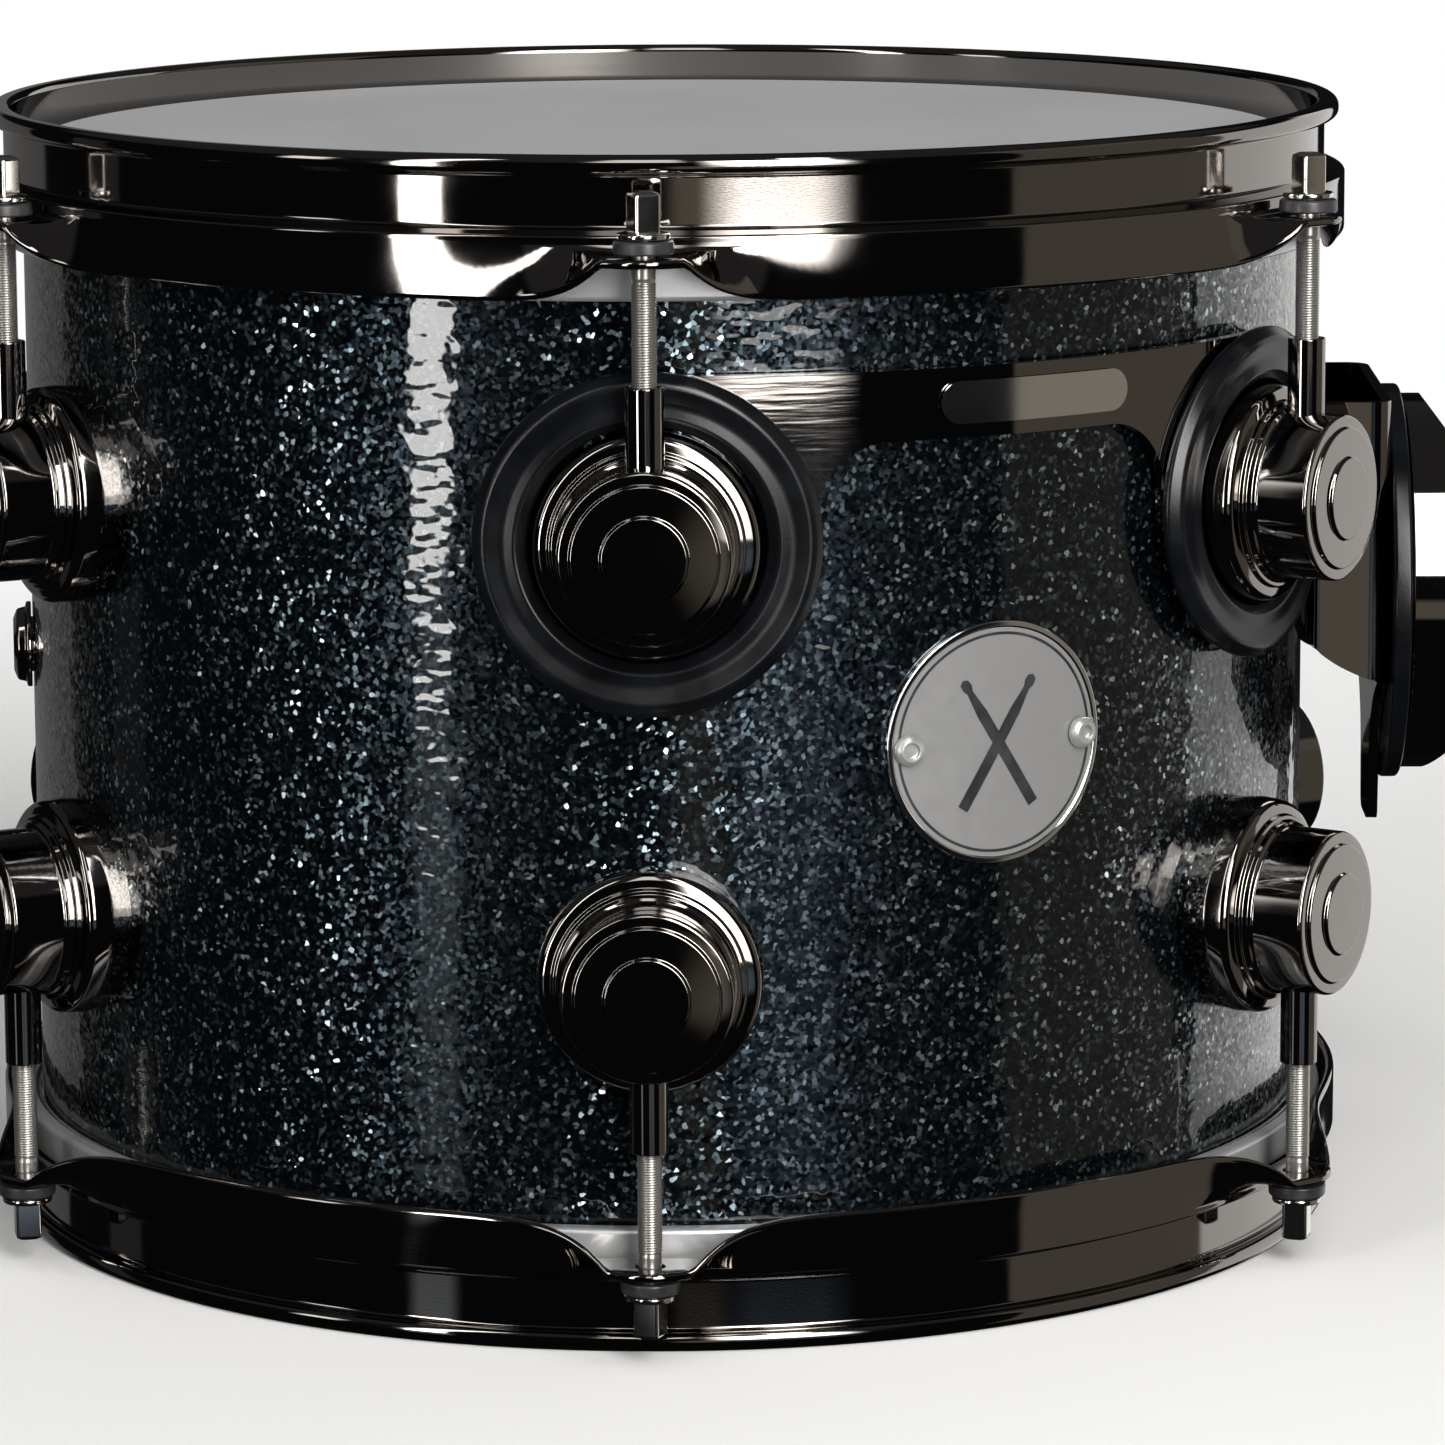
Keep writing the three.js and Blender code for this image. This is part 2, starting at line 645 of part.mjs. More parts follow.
// The holes through the shell and its wrap.
function wallHoles() {
  const drill = (radius) => turnedOutward([[0, 130], [radius, 130], [radius, 160], [0, 160]], 16);
  const badgeHoles = [-1, 1].map((side) => atBadgeScrew(drill(badgeScrewRadius + gap), side));
  return [atVent(drill(ventBarrel + gap + 0.1)), ...badgeHoles];
}

function ventGrommet() {
  const seat = drumRadius + gap;
  return atVent(turnedOutward([
    [ventBore, ventEnd], [ventBarrel, ventEnd], [ventBarrel, seat], [ventFlange, seat],
    [ventFlange, seat + 1.3], [ventFlange - 1, seat + 1.5], [8.4, seat + 3.6], [6, seat + ventRise],
    [ventBore, seat + 4], [ventBore, ventEnd],
  ], 16));
}

function ventNut() {
  const hole = ventBarrel + 1.2;
  const low = ventEnd + 0.6;
  const high = low + 4;
  return atVent(turnedOutward([[hole, low], [11, low], [11, high], [hole, high], [hole, low]], 6));
}

// ---- materials and nodes ----
const finish = (color, roughness, metalness) => ({ color, roughness, metalness });
const finishes = {
  maple: finish(0xc9a26b, 0.6, 0),
  sparkle: finish(0x10191f, 0.15, 0.2),
  film: finish(0xc9ccd0, 0.6, 0),
  clearFilm: finish(0xb9c2c8, 0.2, 0),
  aluminium: finish(0xb9bcc0, 0.35, 1),
  blackNickel: finish(0x26221f, 0.12, 1),
  brightNickel: finish(0xc2bfb8, 0.2, 1),
  nylon: finish(0x15151a, 0.5, 0),
  rubber: finish(0x1c1d20, 0.8, 0),
  brass: finish(0xb08d48, 0.35, 1),
};

const drum = new THREE.Group();
drum.name = 'tom_tom_drum';

function place(name, geometry, look) {
  const mesh = new THREE.Mesh(geometry.translate(0, 0, halfDepth), new THREE.MeshStandardMaterial(look));
  mesh.name = name;
  drum.add(mesh);
}

place('shell', shell(), finishes.maple);
place('finish_wrap', finishWrap(), finishes.sparkle);
place('batter_head', head(), finishes.film);
place('resonant_head', forOtherHead(head()), finishes.clearFilm);
place('batter_flesh_hoop', fleshHoop(batterFleshBottom), finishes.aluminium);
place('resonant_flesh_hoop', forOtherHead(fleshHoop(resonantFleshBottom)), finishes.aluminium);
place('batter_hoop', hoop(), finishes.blackNickel);
place('resonant_hoop', forOtherHead(hoop()), finishes.blackNickel);

const perLug = { lug: [lug(), 'blackNickel'], tension_rod: [tensionRod(), 'brightNickel'],
  rod_washer: [rodWasher(), 'nylon'] };
for (const [piece, [geometry, look]] of Object.entries(perLug)) {
  for (let i = 0; i < lugsPerHead; i += 1) {
    const turn = radians(i * sectorAngle);
    place(`batter_${piece}_${i + 1}`, geometry.clone().rotateZ(turn), finishes[look]);
    place(`resonant_${piece}_${i + 1}`, forOtherHead(geometry).rotateZ(turn), finishes[look]);
  }
}

place('suspension_plate', suspensionPlate(), finishes.blackNickel);
for (let i = 0; i < 4; i += 1) {
  place(`suspension_grommet_${i + 1}`, grommet().rotateZ(radians(i * sectorAngle)), finishes.rubber);
}
place('mount_gasket', mountGasket(), finishes.rubber);
place('mount_casting', mountCasting(), finishes.blackNickel);
place('clamp_jaw', clampJaw(), finishes.blackNickel);
place('jaw_hinge_pin', hingePin(), finishes.brightNickel);
place('wing_screw', wingScrew(), finishes.blackNickel);
place('badge', badge(), finishes.aluminium);
place('badge_screw_left', badgeScrew(-1), finishes.brightNickel);
place('badge_screw_right', badgeScrew(1), finishes.brightNickel);
place('mount_label', mountLabel(), finishes.aluminium);
place('air_vent', ventGrommet(), finishes.blackNickel);
place('air_vent_nut', ventNut(), finishes.brass);

export default drum;
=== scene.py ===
"""A 12 inch rack tom with black nickel hardware and a glitter wrap, looked at from the photograph's side."""

import math

import bmesh
import bpy
import numpy as np
from mathutils import Matrix, Vector


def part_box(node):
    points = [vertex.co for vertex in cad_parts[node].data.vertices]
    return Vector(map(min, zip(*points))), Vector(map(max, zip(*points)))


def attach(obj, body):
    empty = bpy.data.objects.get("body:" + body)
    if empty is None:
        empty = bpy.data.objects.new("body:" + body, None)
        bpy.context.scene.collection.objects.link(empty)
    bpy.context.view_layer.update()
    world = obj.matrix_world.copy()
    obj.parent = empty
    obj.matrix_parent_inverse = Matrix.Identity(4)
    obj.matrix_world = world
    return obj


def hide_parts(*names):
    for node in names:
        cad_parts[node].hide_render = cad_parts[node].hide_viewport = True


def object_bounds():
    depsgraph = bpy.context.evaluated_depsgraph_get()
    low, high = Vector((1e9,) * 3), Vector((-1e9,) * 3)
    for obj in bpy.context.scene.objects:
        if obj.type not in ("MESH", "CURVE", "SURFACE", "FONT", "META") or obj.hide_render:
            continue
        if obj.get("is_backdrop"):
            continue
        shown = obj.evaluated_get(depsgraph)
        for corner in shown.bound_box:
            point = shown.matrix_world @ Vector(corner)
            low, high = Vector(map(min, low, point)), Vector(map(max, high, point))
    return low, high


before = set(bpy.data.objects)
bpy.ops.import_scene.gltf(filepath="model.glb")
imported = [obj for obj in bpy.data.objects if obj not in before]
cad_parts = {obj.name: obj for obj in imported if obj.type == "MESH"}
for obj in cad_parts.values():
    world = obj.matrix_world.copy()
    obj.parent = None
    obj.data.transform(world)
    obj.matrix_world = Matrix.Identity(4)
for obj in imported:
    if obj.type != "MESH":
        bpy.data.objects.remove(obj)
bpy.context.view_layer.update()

MM = 0.001
QUARTER = math.pi / 2

# ---- where things are, from the frame ----


def middle(node):
    low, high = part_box(node)
    return [(a + b) / 2 for a, b in zip(low, high)]


def heights(node):
    """A node's lowest and highest level, in millimetres above the drum's mid-height."""
    return [corner[2] / MM - MID_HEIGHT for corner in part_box(node)]


MID_HEIGHT = (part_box("batter_head")[1][2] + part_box("resonant_head")[0][2]) / 2 / MM
HALF_DEPTH = (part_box("batter_head")[1][2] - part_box("resonant_head")[0][2]) / 2 / MM
DRUM_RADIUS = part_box("finish_wrap")[1][0] / MM
ROD_CIRCLE = -middle("batter_tension_rod_1")[1] / MM
LUG_HEIGHT = middle("suspension_grommet_1")[2] / MM - MID_HEIGHT
LUG_FACE = -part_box("batter_lug_1")[0][1] / MM
TUBE_END = heights("batter_lug_1")[1]
WASHER_LOW, WASHER_HIGH = heights("batter_rod_washer_1")
ROD_END, ROD_TOP = heights("batter_tension_rod_1")
ROD_NECK = WASHER_HIGH + 0.3
RIM_TOP = heights("batter_hoop")[1]
COLLAR_LOW = heights("batter_head")[0]
MOUNT_HEIGHT = middle("mount_gasket")[2] / MM - MID_HEIGHT

# the rest of the driving dimensions; a turned solid's profile ends at AXIS, just off its own axis
LUGS = 6
AXIS = 0.01
HOOP_STEEL = 2.0
PLATE = 2.5
PLATE_RADIUS = 155.85

# ---- materials ----


def new_material(name, **settings):
    material = bpy.data.materials.new(name)
    material.use_nodes = True
    shader = material.node_tree.nodes["Principled BSDF"]
    for socket, value in settings.items():
        shader.inputs[socket.replace("_", " ")].default_value = value
    return material, material.node_tree, shader


def node(tree, kind, **settings):
    """A new node; each setting is an input's value or a property of the node."""
    made = tree.nodes.new(kind)
    for key, value in settings.items():
        if key in made.inputs:
            made.inputs[key].default_value = value
        else:
            setattr(made, key, value)
    return made


def link(tree, source, target):
    tree.links.new(source, target)


def position(tree, scale=(1.0, 1.0, 1.0)):
    """Object coordinates in metres, stretched by scale."""
    where = node(tree, "ShaderNodeTexCoord")
    mapping = node(tree, "ShaderNodeMapping", Scale=scale)
    link(tree, where.outputs["Object"], mapping.inputs["Vector"])
    return mapping.outputs["Vector"]


def noise(tree, where, scale, detail=2.0, roughness=0.5, output="Fac"):
    made = node(tree, "ShaderNodeTexNoise", Scale=scale, Detail=detail, Roughness=roughness)
    link(tree, where, made.inputs["Vector"])
    return made.outputs[output]


def ramp(tree, source, *stops):
    """A number or colour that runs through (place, value) stops as its source goes from 0 to 1."""
    made = node(tree, "ShaderNodeValToRGB")
    elements = made.color_ramp.elements
    while len(elements) < len(stops):
        elements.new(0.5)
    for element, (place, color) in zip(elements, stops):
        element.position = place
        element.color = (*color, 1) if isinstance(color, tuple) else (color, color, color, 1)
    link(tree, source, made.inputs["Fac"])
    return made.outputs["Color"]


def worked_out(tree, kind, operation, inputs):
    """A maths node whose inputs are numbers, vectors or other nodes' outputs."""
    made = node(tree, kind, operation=operation)
    for socket, value in zip(made.inputs, inputs):
        if isinstance(value, bpy.types.NodeSocket):
            link(tree, value, socket)
        else:
            socket.default_value = value
    return made.outputs[0]


def math_node(tree, operation, *inputs):
    return worked_out(tree, "ShaderNodeMath", operation, inputs)


def vector_node(tree, operation, *inputs):
    return worked_out(tree, "ShaderNodeVectorMath", operation, inputs)


def bump(tree, shader, height, distance, strength=1.0, socket="Normal"):
    made = node(tree, "ShaderNodeBump", Distance=distance, Strength=strength)
    link(tree, height, made.inputs["Height"])
    link(tree, made.outputs["Normal"], shader.inputs[socket])


def clouded(tree, shader, cloud, dark, pale, polished, dull, pale_at=0.75):
    """Colour and roughness that vary a little over the surface."""
    link(tree, ramp(tree, cloud, (0.3, dark), (pale_at, pale)), shader.inputs["Base Color"])
    link(tree, ramp(tree, cloud, (0.3, polished), (0.8, dull)), shader.inputs["Roughness"])


def plated(name, color, roughness, wear=0.05, marks=0.6, metallic=1.0, rolling=0.0):
    """Polished plate: its gloss varies a little, and drawing or rolling it has left fine level marks."""
    material, tree, shader = new_material(name, Metallic=metallic, Base_Color=(*color, 1))
    where = position(tree)
    gloss = ramp(tree, noise(tree, where, 60, 4), (0.35, roughness), (0.8, roughness + wear))
    link(tree, gloss, shader.inputs["Roughness"])
    drawn = noise(tree, position(tree, (1, 1, 6)), 900, 3)
    if rolling:
        rolled = noise(tree, position(tree, (1, 1, 14)), 70, 1)
        drawn = math_node(tree, "MULTIPLY_ADD", rolled, rolling, drawn)
    bump(tree, shader, drawn, 0.000004, marks)
    return material


def rubber(name):
    material, tree, shader = new_material(name, Specular_IOR_Level=0.3)
    where = position(tree)
    cloud = noise(tree, where, 90, 5)
    clouded(tree, shader, cloud, (0.0016, 0.0019, 0.0025), (0.004, 0.0047, 0.006), 0.2, 0.3)
    bump(tree, shader, noise(tree, where, 1500, 3), 0.00003, 0.5)
    return material


def nylon(name):
    """Black nylon or inlay: dull, with a little mottling."""
    material, tree, shader = new_material(name)
    cloud = noise(tree, position(tree), 200, 3)
    clouded(tree, shader, cloud, (0.01, 0.01, 0.011), (0.03, 0.03, 0.032), 0.3, 0.5, pale_at=0.8)
    return material


def sparkle_wrap(name):
    """Angular glitter flakes at random tilts in a near-black teal, under a clear glossy coat."""
    material, tree, shader = new_material(
        name, Metallic=0.85, Roughness=0.22, Coat_Weight=1.0, Coat_Roughness=0.015, Coat_IOR=1.45
    )
    where = position(tree)
    bent = node(tree, "ShaderNodeMixRGB", Fac=0.0003, blend_type="ADD")
    link(tree, where, bent.inputs["Color1"])
    link(tree, noise(tree, where, 500, 2, output="Color"), bent.inputs["Color2"])
    flakes = node(tree, "ShaderNodeTexVoronoi", Scale=1050, Randomness=1.0)
    link(tree, bent.outputs["Color"], flakes.inputs["Vector"])
    parts = node(tree, "ShaderNodeSeparateColor")
    link(tree, flakes.outputs["Color"], parts.inputs["Color"])
    color = ramp(
        tree,
        parts.outputs["Red"],
        (0.0, (0.0019, 0.0037, 0.006)),
        (0.5, (0.0038, 0.0068, 0.01)),
        (0.8, (0.013, 0.021, 0.027)),
        (0.95, (0.068, 0.092, 0.108)),
        (1.0, (0.36, 0.42, 0.44)),
    )
    link(tree, color, shader.inputs["Base Color"])
    geometry = node(tree, "ShaderNodeNewGeometry")
    most = 0.9
    tilt = vector_node(tree, "SUBTRACT", flakes.outputs["Color"], (0.5, 0.5, 0.5))
    mostly_flat = vector_node(tree, "MULTIPLY", tilt, vector_node(tree, "ABSOLUTE", tilt))
    tilt = vector_node(tree, "MULTIPLY", mostly_flat, (most, most, most))
    leaning = vector_node(tree, "ADD", geometry.outputs["Normal"], tilt)
    link(tree, vector_node(tree, "NORMALIZE", leaning), shader.inputs["Normal"])
    ripple = noise(tree, position(tree, (1.8, 1.8, 2.8)), 100, 1, 0.35)
    bump(tree, shader, ripple, 0.00015, 1.0, "Coat Normal")
    return material


def coated_film(name):
    """Sprayed coating on polyester: pale grey, finely pebbled, a little uneven."""
    material, tree, shader = new_material(name, Specular_IOR_Level=0.3)
    where = position(tree)
    clouded(tree, shader, noise(tree, where, 18, 4), (0.33, 0.335, 0.343), (0.35, 0.355, 0.363), 0.55, 0.68)
    bump(tree, shader, noise(tree, where, 2600, 2), 0.00004, 0.6)
    return material


def clear_film(name):
    material, tree, shader = new_material(
        name, Base_Color=(0.93, 0.95, 0.96, 1), Transmission_Weight=0.85, IOR=1.5
    )
    haze = noise(tree, position(tree), 30, 4)
    link(tree, ramp(tree, haze, (0.3, 0.06), (0.8, 0.16)), shader.inputs["Roughness"])
    return material


def satin_metal(name, color, roughness, grain=(1, 1, 40), metallic=1.0):
    """Brushed or satin metal: fine grain stretched one way."""
    material, tree, shader = new_material(name, Metallic=metallic, Base_Color=(*color, 1))
    streaks = noise(tree, position(tree, grain), 300, 4)
    gloss = ramp(tree, streaks, (0.3, roughness), (0.75, roughness + 0.14))
    link(tree, gloss, shader.inputs["Roughness"])
    bump(tree, shader, streaks, 0.00001, 0.5)
    return material


def maple(name):
    material, tree, shader = new_material(name, Roughness=0.45)
    rings = node(tree, "ShaderNodeTexWave", Scale=40, Distortion=6, Detail=3)
    link(tree, position(tree, (0.25, 0.25, 1)), rings.inputs["Vector"])
    color = ramp(tree, rings.outputs["Fac"], (0.2, (0.44, 0.27, 0.13)), (0.8, (0.60, 0.41, 0.23)))
    link(tree, color, shader.inputs["Base Color"])
    return material


NICKEL = (0.24, 0.223, 0.21)
NO_GRAIN = (1, 1, 1)

BLACK_NICKEL = plated("black_nickel", NICKEL, 0.035)
ROLLED_NICKEL = plated("rolled_black_nickel", NICKEL, 0.02, wear=0.03, marks=0.1, rolling=10.0)
CAST_NICKEL = plated("cast_black_nickel", NICKEL, 0.035, marks=0.1)
BRIGHT_NICKEL = plated("bright_nickel", (0.72, 0.7, 0.67), 0.1, wear=0.08, marks=0.1)
THREAD_STEEL = plated("thread_steel", (0.38, 0.365, 0.345), 0.28, wear=0.1, marks=0, metallic=0.9)
SCREW_STEEL = satin_metal("screw_satin", (0.46, 0.46, 0.45), 0.28, NO_GRAIN, 0.7)
SPARKLE = sparkle_wrap("sparkle_wrap")
COATED_FILM = coated_film("coated_film")
CLEAR_FILM = clear_film("clear_film")
ALUMINIUM = satin_metal("satin_aluminium", (0.52, 0.53, 0.54), 0.3, metallic=0.7)
BADGE_METAL = satin_metal("badge_satin", (0.22, 0.22, 0.22), 0.36, NO_GRAIN, 0.4)
BADGE_EDGE = plated("badge_edge", (0.8, 0.8, 0.8), 0.08)
INLAY = nylon("badge_inlay")
LABEL_METAL = plated("label_satin", (0.9, 0.9, 0.87), 0.08)
RUBBER = rubber("grommet_rubber")
NYLON = nylon("black_nylon")
MAPLE = maple("maple")
BRASS = plated("brass", (0.62, 0.44, 0.2), 0.25, 0.2)

# ---- outlines: every outline is in millimetres ----


def rounded(corners, closed=False, steps=4):
    """A polyline through (x, y, radius) corners, with each corner of some radius turned into an arc."""
    count = len(corners)
    points = []
    for i, (x, y, *extra) in enumerate(corners):
        radius = extra[0] if extra else 0
        if radius == 0 or (not closed and i in (0, count - 1)):
            points.append((x, y))
            continue
        here = np.array((x, y), float)
        before = np.array(corners[i - 1][:2], float) - here
        after = np.array(corners[(i + 1) % count][:2], float) - here
        before_length, after_length = np.linalg.norm(before), np.linalg.norm(after)
        before, after = before / before_length, after / after_length
        half = math.acos(np.clip(before @ after, -1, 1)) / 2
        reach = min(radius / math.tan(half), 0.49 * before_length, 0.49 * after_length)
        radius = reach * math.tan(half)
        centre = here + (before + after) / np.linalg.norm(before + after) * radius / math.sin(half)
        start, end = here + before * reach - centre, here + after * reach - centre
        first = math.atan2(start[1], start[0])
        turn = math.atan2(end[1], end[0]) - first
        turn = (turn + math.pi) % (2 * math.pi) - math.pi
        for k in range(steps + 1):
            angle = first + turn * k / steps
            points.append((centre[0] + radius * math.cos(angle), centre[1] + radius * math.sin(angle)))
    return points


def smooth(mesh, angle=50):
    mesh.polygons.foreach_set("use_smooth", [True] * len(mesh.polygons))
    mesh.set_sharp_from_angle(angle=math.radians(angle))


def editable(mesh):
    work = bmesh.new()
    work.from_mesh(mesh)
    return work


def put_back(work, mesh, angle=50):
    """Puts an edited shape back into a mesh."""
    work.to_mesh(mesh)
    work.free()
    smooth(mesh, angle)
    return mesh


def mesh_from(name, points, faces):
    mesh = bpy.data.meshes.new(name)
    mesh.from_pydata([tuple(point) for point in points], [], faces)
    work = editable(mesh)
    bmesh.ops.remove_doubles(work, verts=work.verts, dist=1e-7)
    bmesh.ops.recalc_face_normals(work, faces=work.faces)
    return put_back(work, mesh)


def grid(name, rows, close_rows=True, close_columns=False):
    """A surface through equal rows of points; rows and columns may join up with themselves."""
    rows = np.asarray(rows)
    n, m = rows.shape[:2]
    faces = []
    for i in range(n if close_rows else n - 1):
        for j in range(m if close_columns else m - 1):
            a, b = i * m + j, i * m + (j + 1) % m
            c, d = ((i + 1) % n) * m + (j + 1) % m, ((i + 1) % n) * m + j
            faces.append((a, b, c, d))
    return mesh_from(name, rows.reshape(-1, 3) * MM, faces)


def turned(name, profile, segments=96, ring=True):
    """A profile of (radius, height) turned about Z: a ring, or a solid whose profile ends at the axis."""
    radius, height = np.asarray(profile, float).T
    angles = np.linspace(0, 2 * math.pi, segments, endpoint=False)
    rows = [np.stack([radius * math.sin(a), -radius * math.cos(a), height], 1) for a in angles]
    return grid(name, rows, True, ring)


def shift(x, y, z):
    return Matrix.Translation((x * MM, y * MM, z * MM))


def moved(mesh, matrix):
    mesh.transform(matrix)
    return mesh


def facing_out(mesh, height=0.0):
    """Lays a mesh turned about +Z along -Y, so that its heights are distances from the drum's axis."""
    return moved(mesh, shift(0, 0, height) @ Matrix.Rotation(QUARTER, 4, "X"))


def facing_mount(mesh):
    """Lays a mesh turned about +Z along +X, at the mount's height."""
    return moved(mesh, shift(0, 0, MOUNT_HEIGHT) @ Matrix.Rotation(QUARTER, 4, "Y"))


def other_head(mesh):
    """Half a turn about Y: the same piece on the other head."""
    return moved(mesh, Matrix.Rotation(math.pi, 4, "Y"))


def wrapped(mesh, radius):
    """Bends a mesh drawn flat, X along the surface, Y up and Z outwards, round the drum."""
    for vertex in mesh.vertices:
        angle = vertex.co.x / (radius * MM)
        reach = radius * MM + vertex.co.z
        vertex.co = (reach * math.sin(angle), -reach * math.cos(angle), vertex.co.y)
    return mesh


def in_scene(name, data):
    made = bpy.data.objects.new(name, data)
    bpy.context.scene.collection.objects.link(made)
    return made


def evaluated(made):
    """An object's mesh with its modifiers applied."""
    bpy.context.view_layer.update()
    return bpy.data.meshes.new_from_object(made.evaluated_get(bpy.context.evaluated_depsgraph_get()))


def piece(name, mesh, material, body="drum", replaced=(), turn=0.0, place=Matrix()):
    """Puts a mesh drawn about mid-height into the scene as a piece of the drum."""
    made = in_scene(name, mesh)
    if not mesh.materials:
        mesh.materials.append(material)
    made.matrix_world = Matrix.Rotation(math.radians(turn), 4, "Z") @ shift(0, 0, MID_HEIGHT) @ place
    weighted = made.modifiers.new("even_shading", "WEIGHTED_NORMAL")
    weighted.keep_sharp = True
    bpy.context.view_layer.update()
    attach(made, body)
    if replaced:
        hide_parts(*replaced)


# ---- shell, heads and hoops ----


def wrap_piece():
    edge = HALF_DEPTH - 6
    inner = DRUM_RADIUS - 1
    mesh = turned("glitter_wrap", rounded([
        (inner, -edge), (DRUM_RADIUS, -edge, 0.4), (DRUM_RADIUS, edge, 0.4), (inner, edge),
    ], True), 360)
    piece("glitter_wrap", mesh, SPARKLE, replaced=["finish_wrap"])


def head_pieces():
    top = HALF_DEPTH
    outer = 153.55
    thick = 0.5
    shoulder = top - 5.4
    outside = rounded([(0, top), (148.6, top, 6), (outer, shoulder, 4), (outer, COLLAR_LOW)], steps=8)
    inside = rounded([
        (outer - thick, COLLAR_LOW), (outer - thick, shoulder, 4), (148.4, top - thick, 6), (0, top - thick),
    ], steps=8)
    profile = [(r, top) for r in (0, 40, 80, 120)] + outside[1:] + inside
    films = (("batter", COATED_FILM, "coated_film"), ("resonant", CLEAR_FILM, "clear_film"))
    for side, material, slot in films:
        mesh = turned(f"{side}_film", profile, 240, False)
        if side == "resonant":
            mesh = other_head(mesh)
        piece(f"{side}_film", mesh, material, replaced=[f"{side}_head"])


def flesh_hoop_pieces():
    inner, outer = 154.2, 158
    for side in ("batter", "resonant"):
        low, high = heights(f"{side}_flesh_hoop")
        if side == "batter":
            low += 0.35
        mesh = turned(f"{side}_channel", rounded([
            (inner, low, 0.5), (outer, low, 1.2), (outer, high, 1.2), (inner, high, 0.5),
        ], True), 240)
        piece(f"{side}_channel", mesh, ALUMINIUM, replaced=[f"{side}_flesh_hoop"])


def skirt_drop(from_ear):
    """How far the skirt has turned down, at a distance round the rim from the nearest ear's middle."""
    beyond = max(from_ear - 8.9, 0)
    return QUARTER * (1 - math.exp(-((beyond / 12.1) ** 1.1)))


def hoop_section(from_ear):
    """The hoop's section at a distance from the nearest ear: rim, band, ridge, then the skirt or ear."""
    rim_outer, rim_low = 159.9, HALF_DEPTH + 4.0
    band_outer = 156.6
    band_inner = band_outer - HOOP_STEEL
    band_low = HALF_DEPTH - 9.4
    skirt_outer = 161.5
    skirt_top = HALF_DEPTH - 9.9
    half = HOOP_STEEL / 2
    drop = skirt_drop(from_ear)
    turn = QUARTER - drop
    bend = 3.4
    nose_length = 1.1
    skirt_length, ear_extra, ear_reach = 12.9, 5.9, 10
    length = skirt_length + ear_extra * math.exp(-((from_ear / ear_reach) ** 2))
    centre = []
    for angle in np.linspace(0, turn, 9):
        centre.append((skirt_outer - half + bend * (1 - math.cos(angle)), skirt_top - bend * math.sin(angle),
                       QUARTER - angle))
    bend_end = centre[-1]
    rest = length - bend * turn
    for part in (0.33, 0.66, 0.92):
        reach = rest * part
        centre.append((bend_end[0] + reach * math.cos(drop), bend_end[1] - reach * math.sin(drop), drop))
    out = [(x + half * math.sin(heading), y + half * math.cos(heading)) for x, y, heading in centre]
    back = [(x - half * math.sin(heading), y - half * math.cos(heading)) for x, y, heading in centre]
    tip = np.array(centre[-1][:2])
    along = nose_length * np.array((math.cos(drop), -math.sin(drop)))
    across = half * np.array((math.sin(drop), math.cos(drop)))
    nose = [tuple(tip + along * math.sin(a) + across * math.cos(a)) for a in np.linspace(0, math.pi, 9)[1:-1]]
    upper = rounded([
        (band_inner, band_low), (band_inner, RIM_TOP, 1.7), (rim_outer, RIM_TOP, 2.0),
        (rim_outer, rim_low, 1.6), (band_outer, rim_low, 0.8), (band_outer, HALF_DEPTH - 7.5, 1.0),
        (skirt_outer, HALF_DEPTH - 8.7, 1.3), (skirt_outer, skirt_top),
    ], steps=6)
    lower = rounded([
        (skirt_outer - HOOP_STEEL, skirt_top), (skirt_outer - HOOP_STEEL, HALF_DEPTH - 10.4, 0.3),
        (band_inner, band_low),
    ], steps=2)
    return upper[1:-1] + out + nose + back[::-1] + lower[1:]


def hoop_pieces():
    """Both hoops are one shape, whose sections stand closer together at the ears."""
    per_sector, crowding = 84, 0.45
    sector = 2 * math.pi / LUGS
    rows = []
    for i in range(LUGS * per_sector):
        even = 2 * math.pi * i / (LUGS * per_sector)
        angle = even - (crowding / LUGS) * math.sin(LUGS * even)
        nearest = round(angle / sector) * sector
        section = hoop_section(abs(angle - nearest) * ROD_CIRCLE)
        rows.append([(r * math.sin(angle), -r * math.cos(angle), z) for r, z in section])
    mesh = grid("hoop", rows, True, True)
    holes = bmesh.new()
    for i in range(LUGS):
        angle = 2 * math.pi * i / LUGS
        place = shift(ROD_CIRCLE * math.sin(angle), -ROD_CIRCLE * math.cos(angle), HALF_DEPTH - 13)
        add_cylinder(holes, 3.4, 8, 32, place)
    cut_mesh(mesh, holes)
    for side, shape in (("batter", mesh), ("resonant", other_head(mesh.copy()))):
        piece(f"{side}_flanged_hoop", shape, BLACK_NICKEL, replaced=[f"{side}_hoop"])


def add_cylinder(work, radius, depth, segments, place):
    bmesh.ops.create_cone(work, cap_ends=True, segments=segments, radius1=radius * MM, radius2=radius * MM,
                          depth=depth * MM, matrix=place)


def cut_mesh(mesh, cutter):
    """Takes a bmesh's shape out of a mesh."""
    body = in_scene("cut_body", mesh)
    tool = in_scene("cut_tool", put_back(cutter, bpy.data.meshes.new("cutter")))
    change = body.modifiers.new("change", "BOOLEAN")
    change.object = tool
    change.operation = "DIFFERENCE"
    change.solver = "EXACT"
    result = evaluated(body)
    for made in (body, tool):
        bpy.data.objects.remove(made)
    put_back(editable(result), mesh)
    bpy.data.meshes.remove(result)


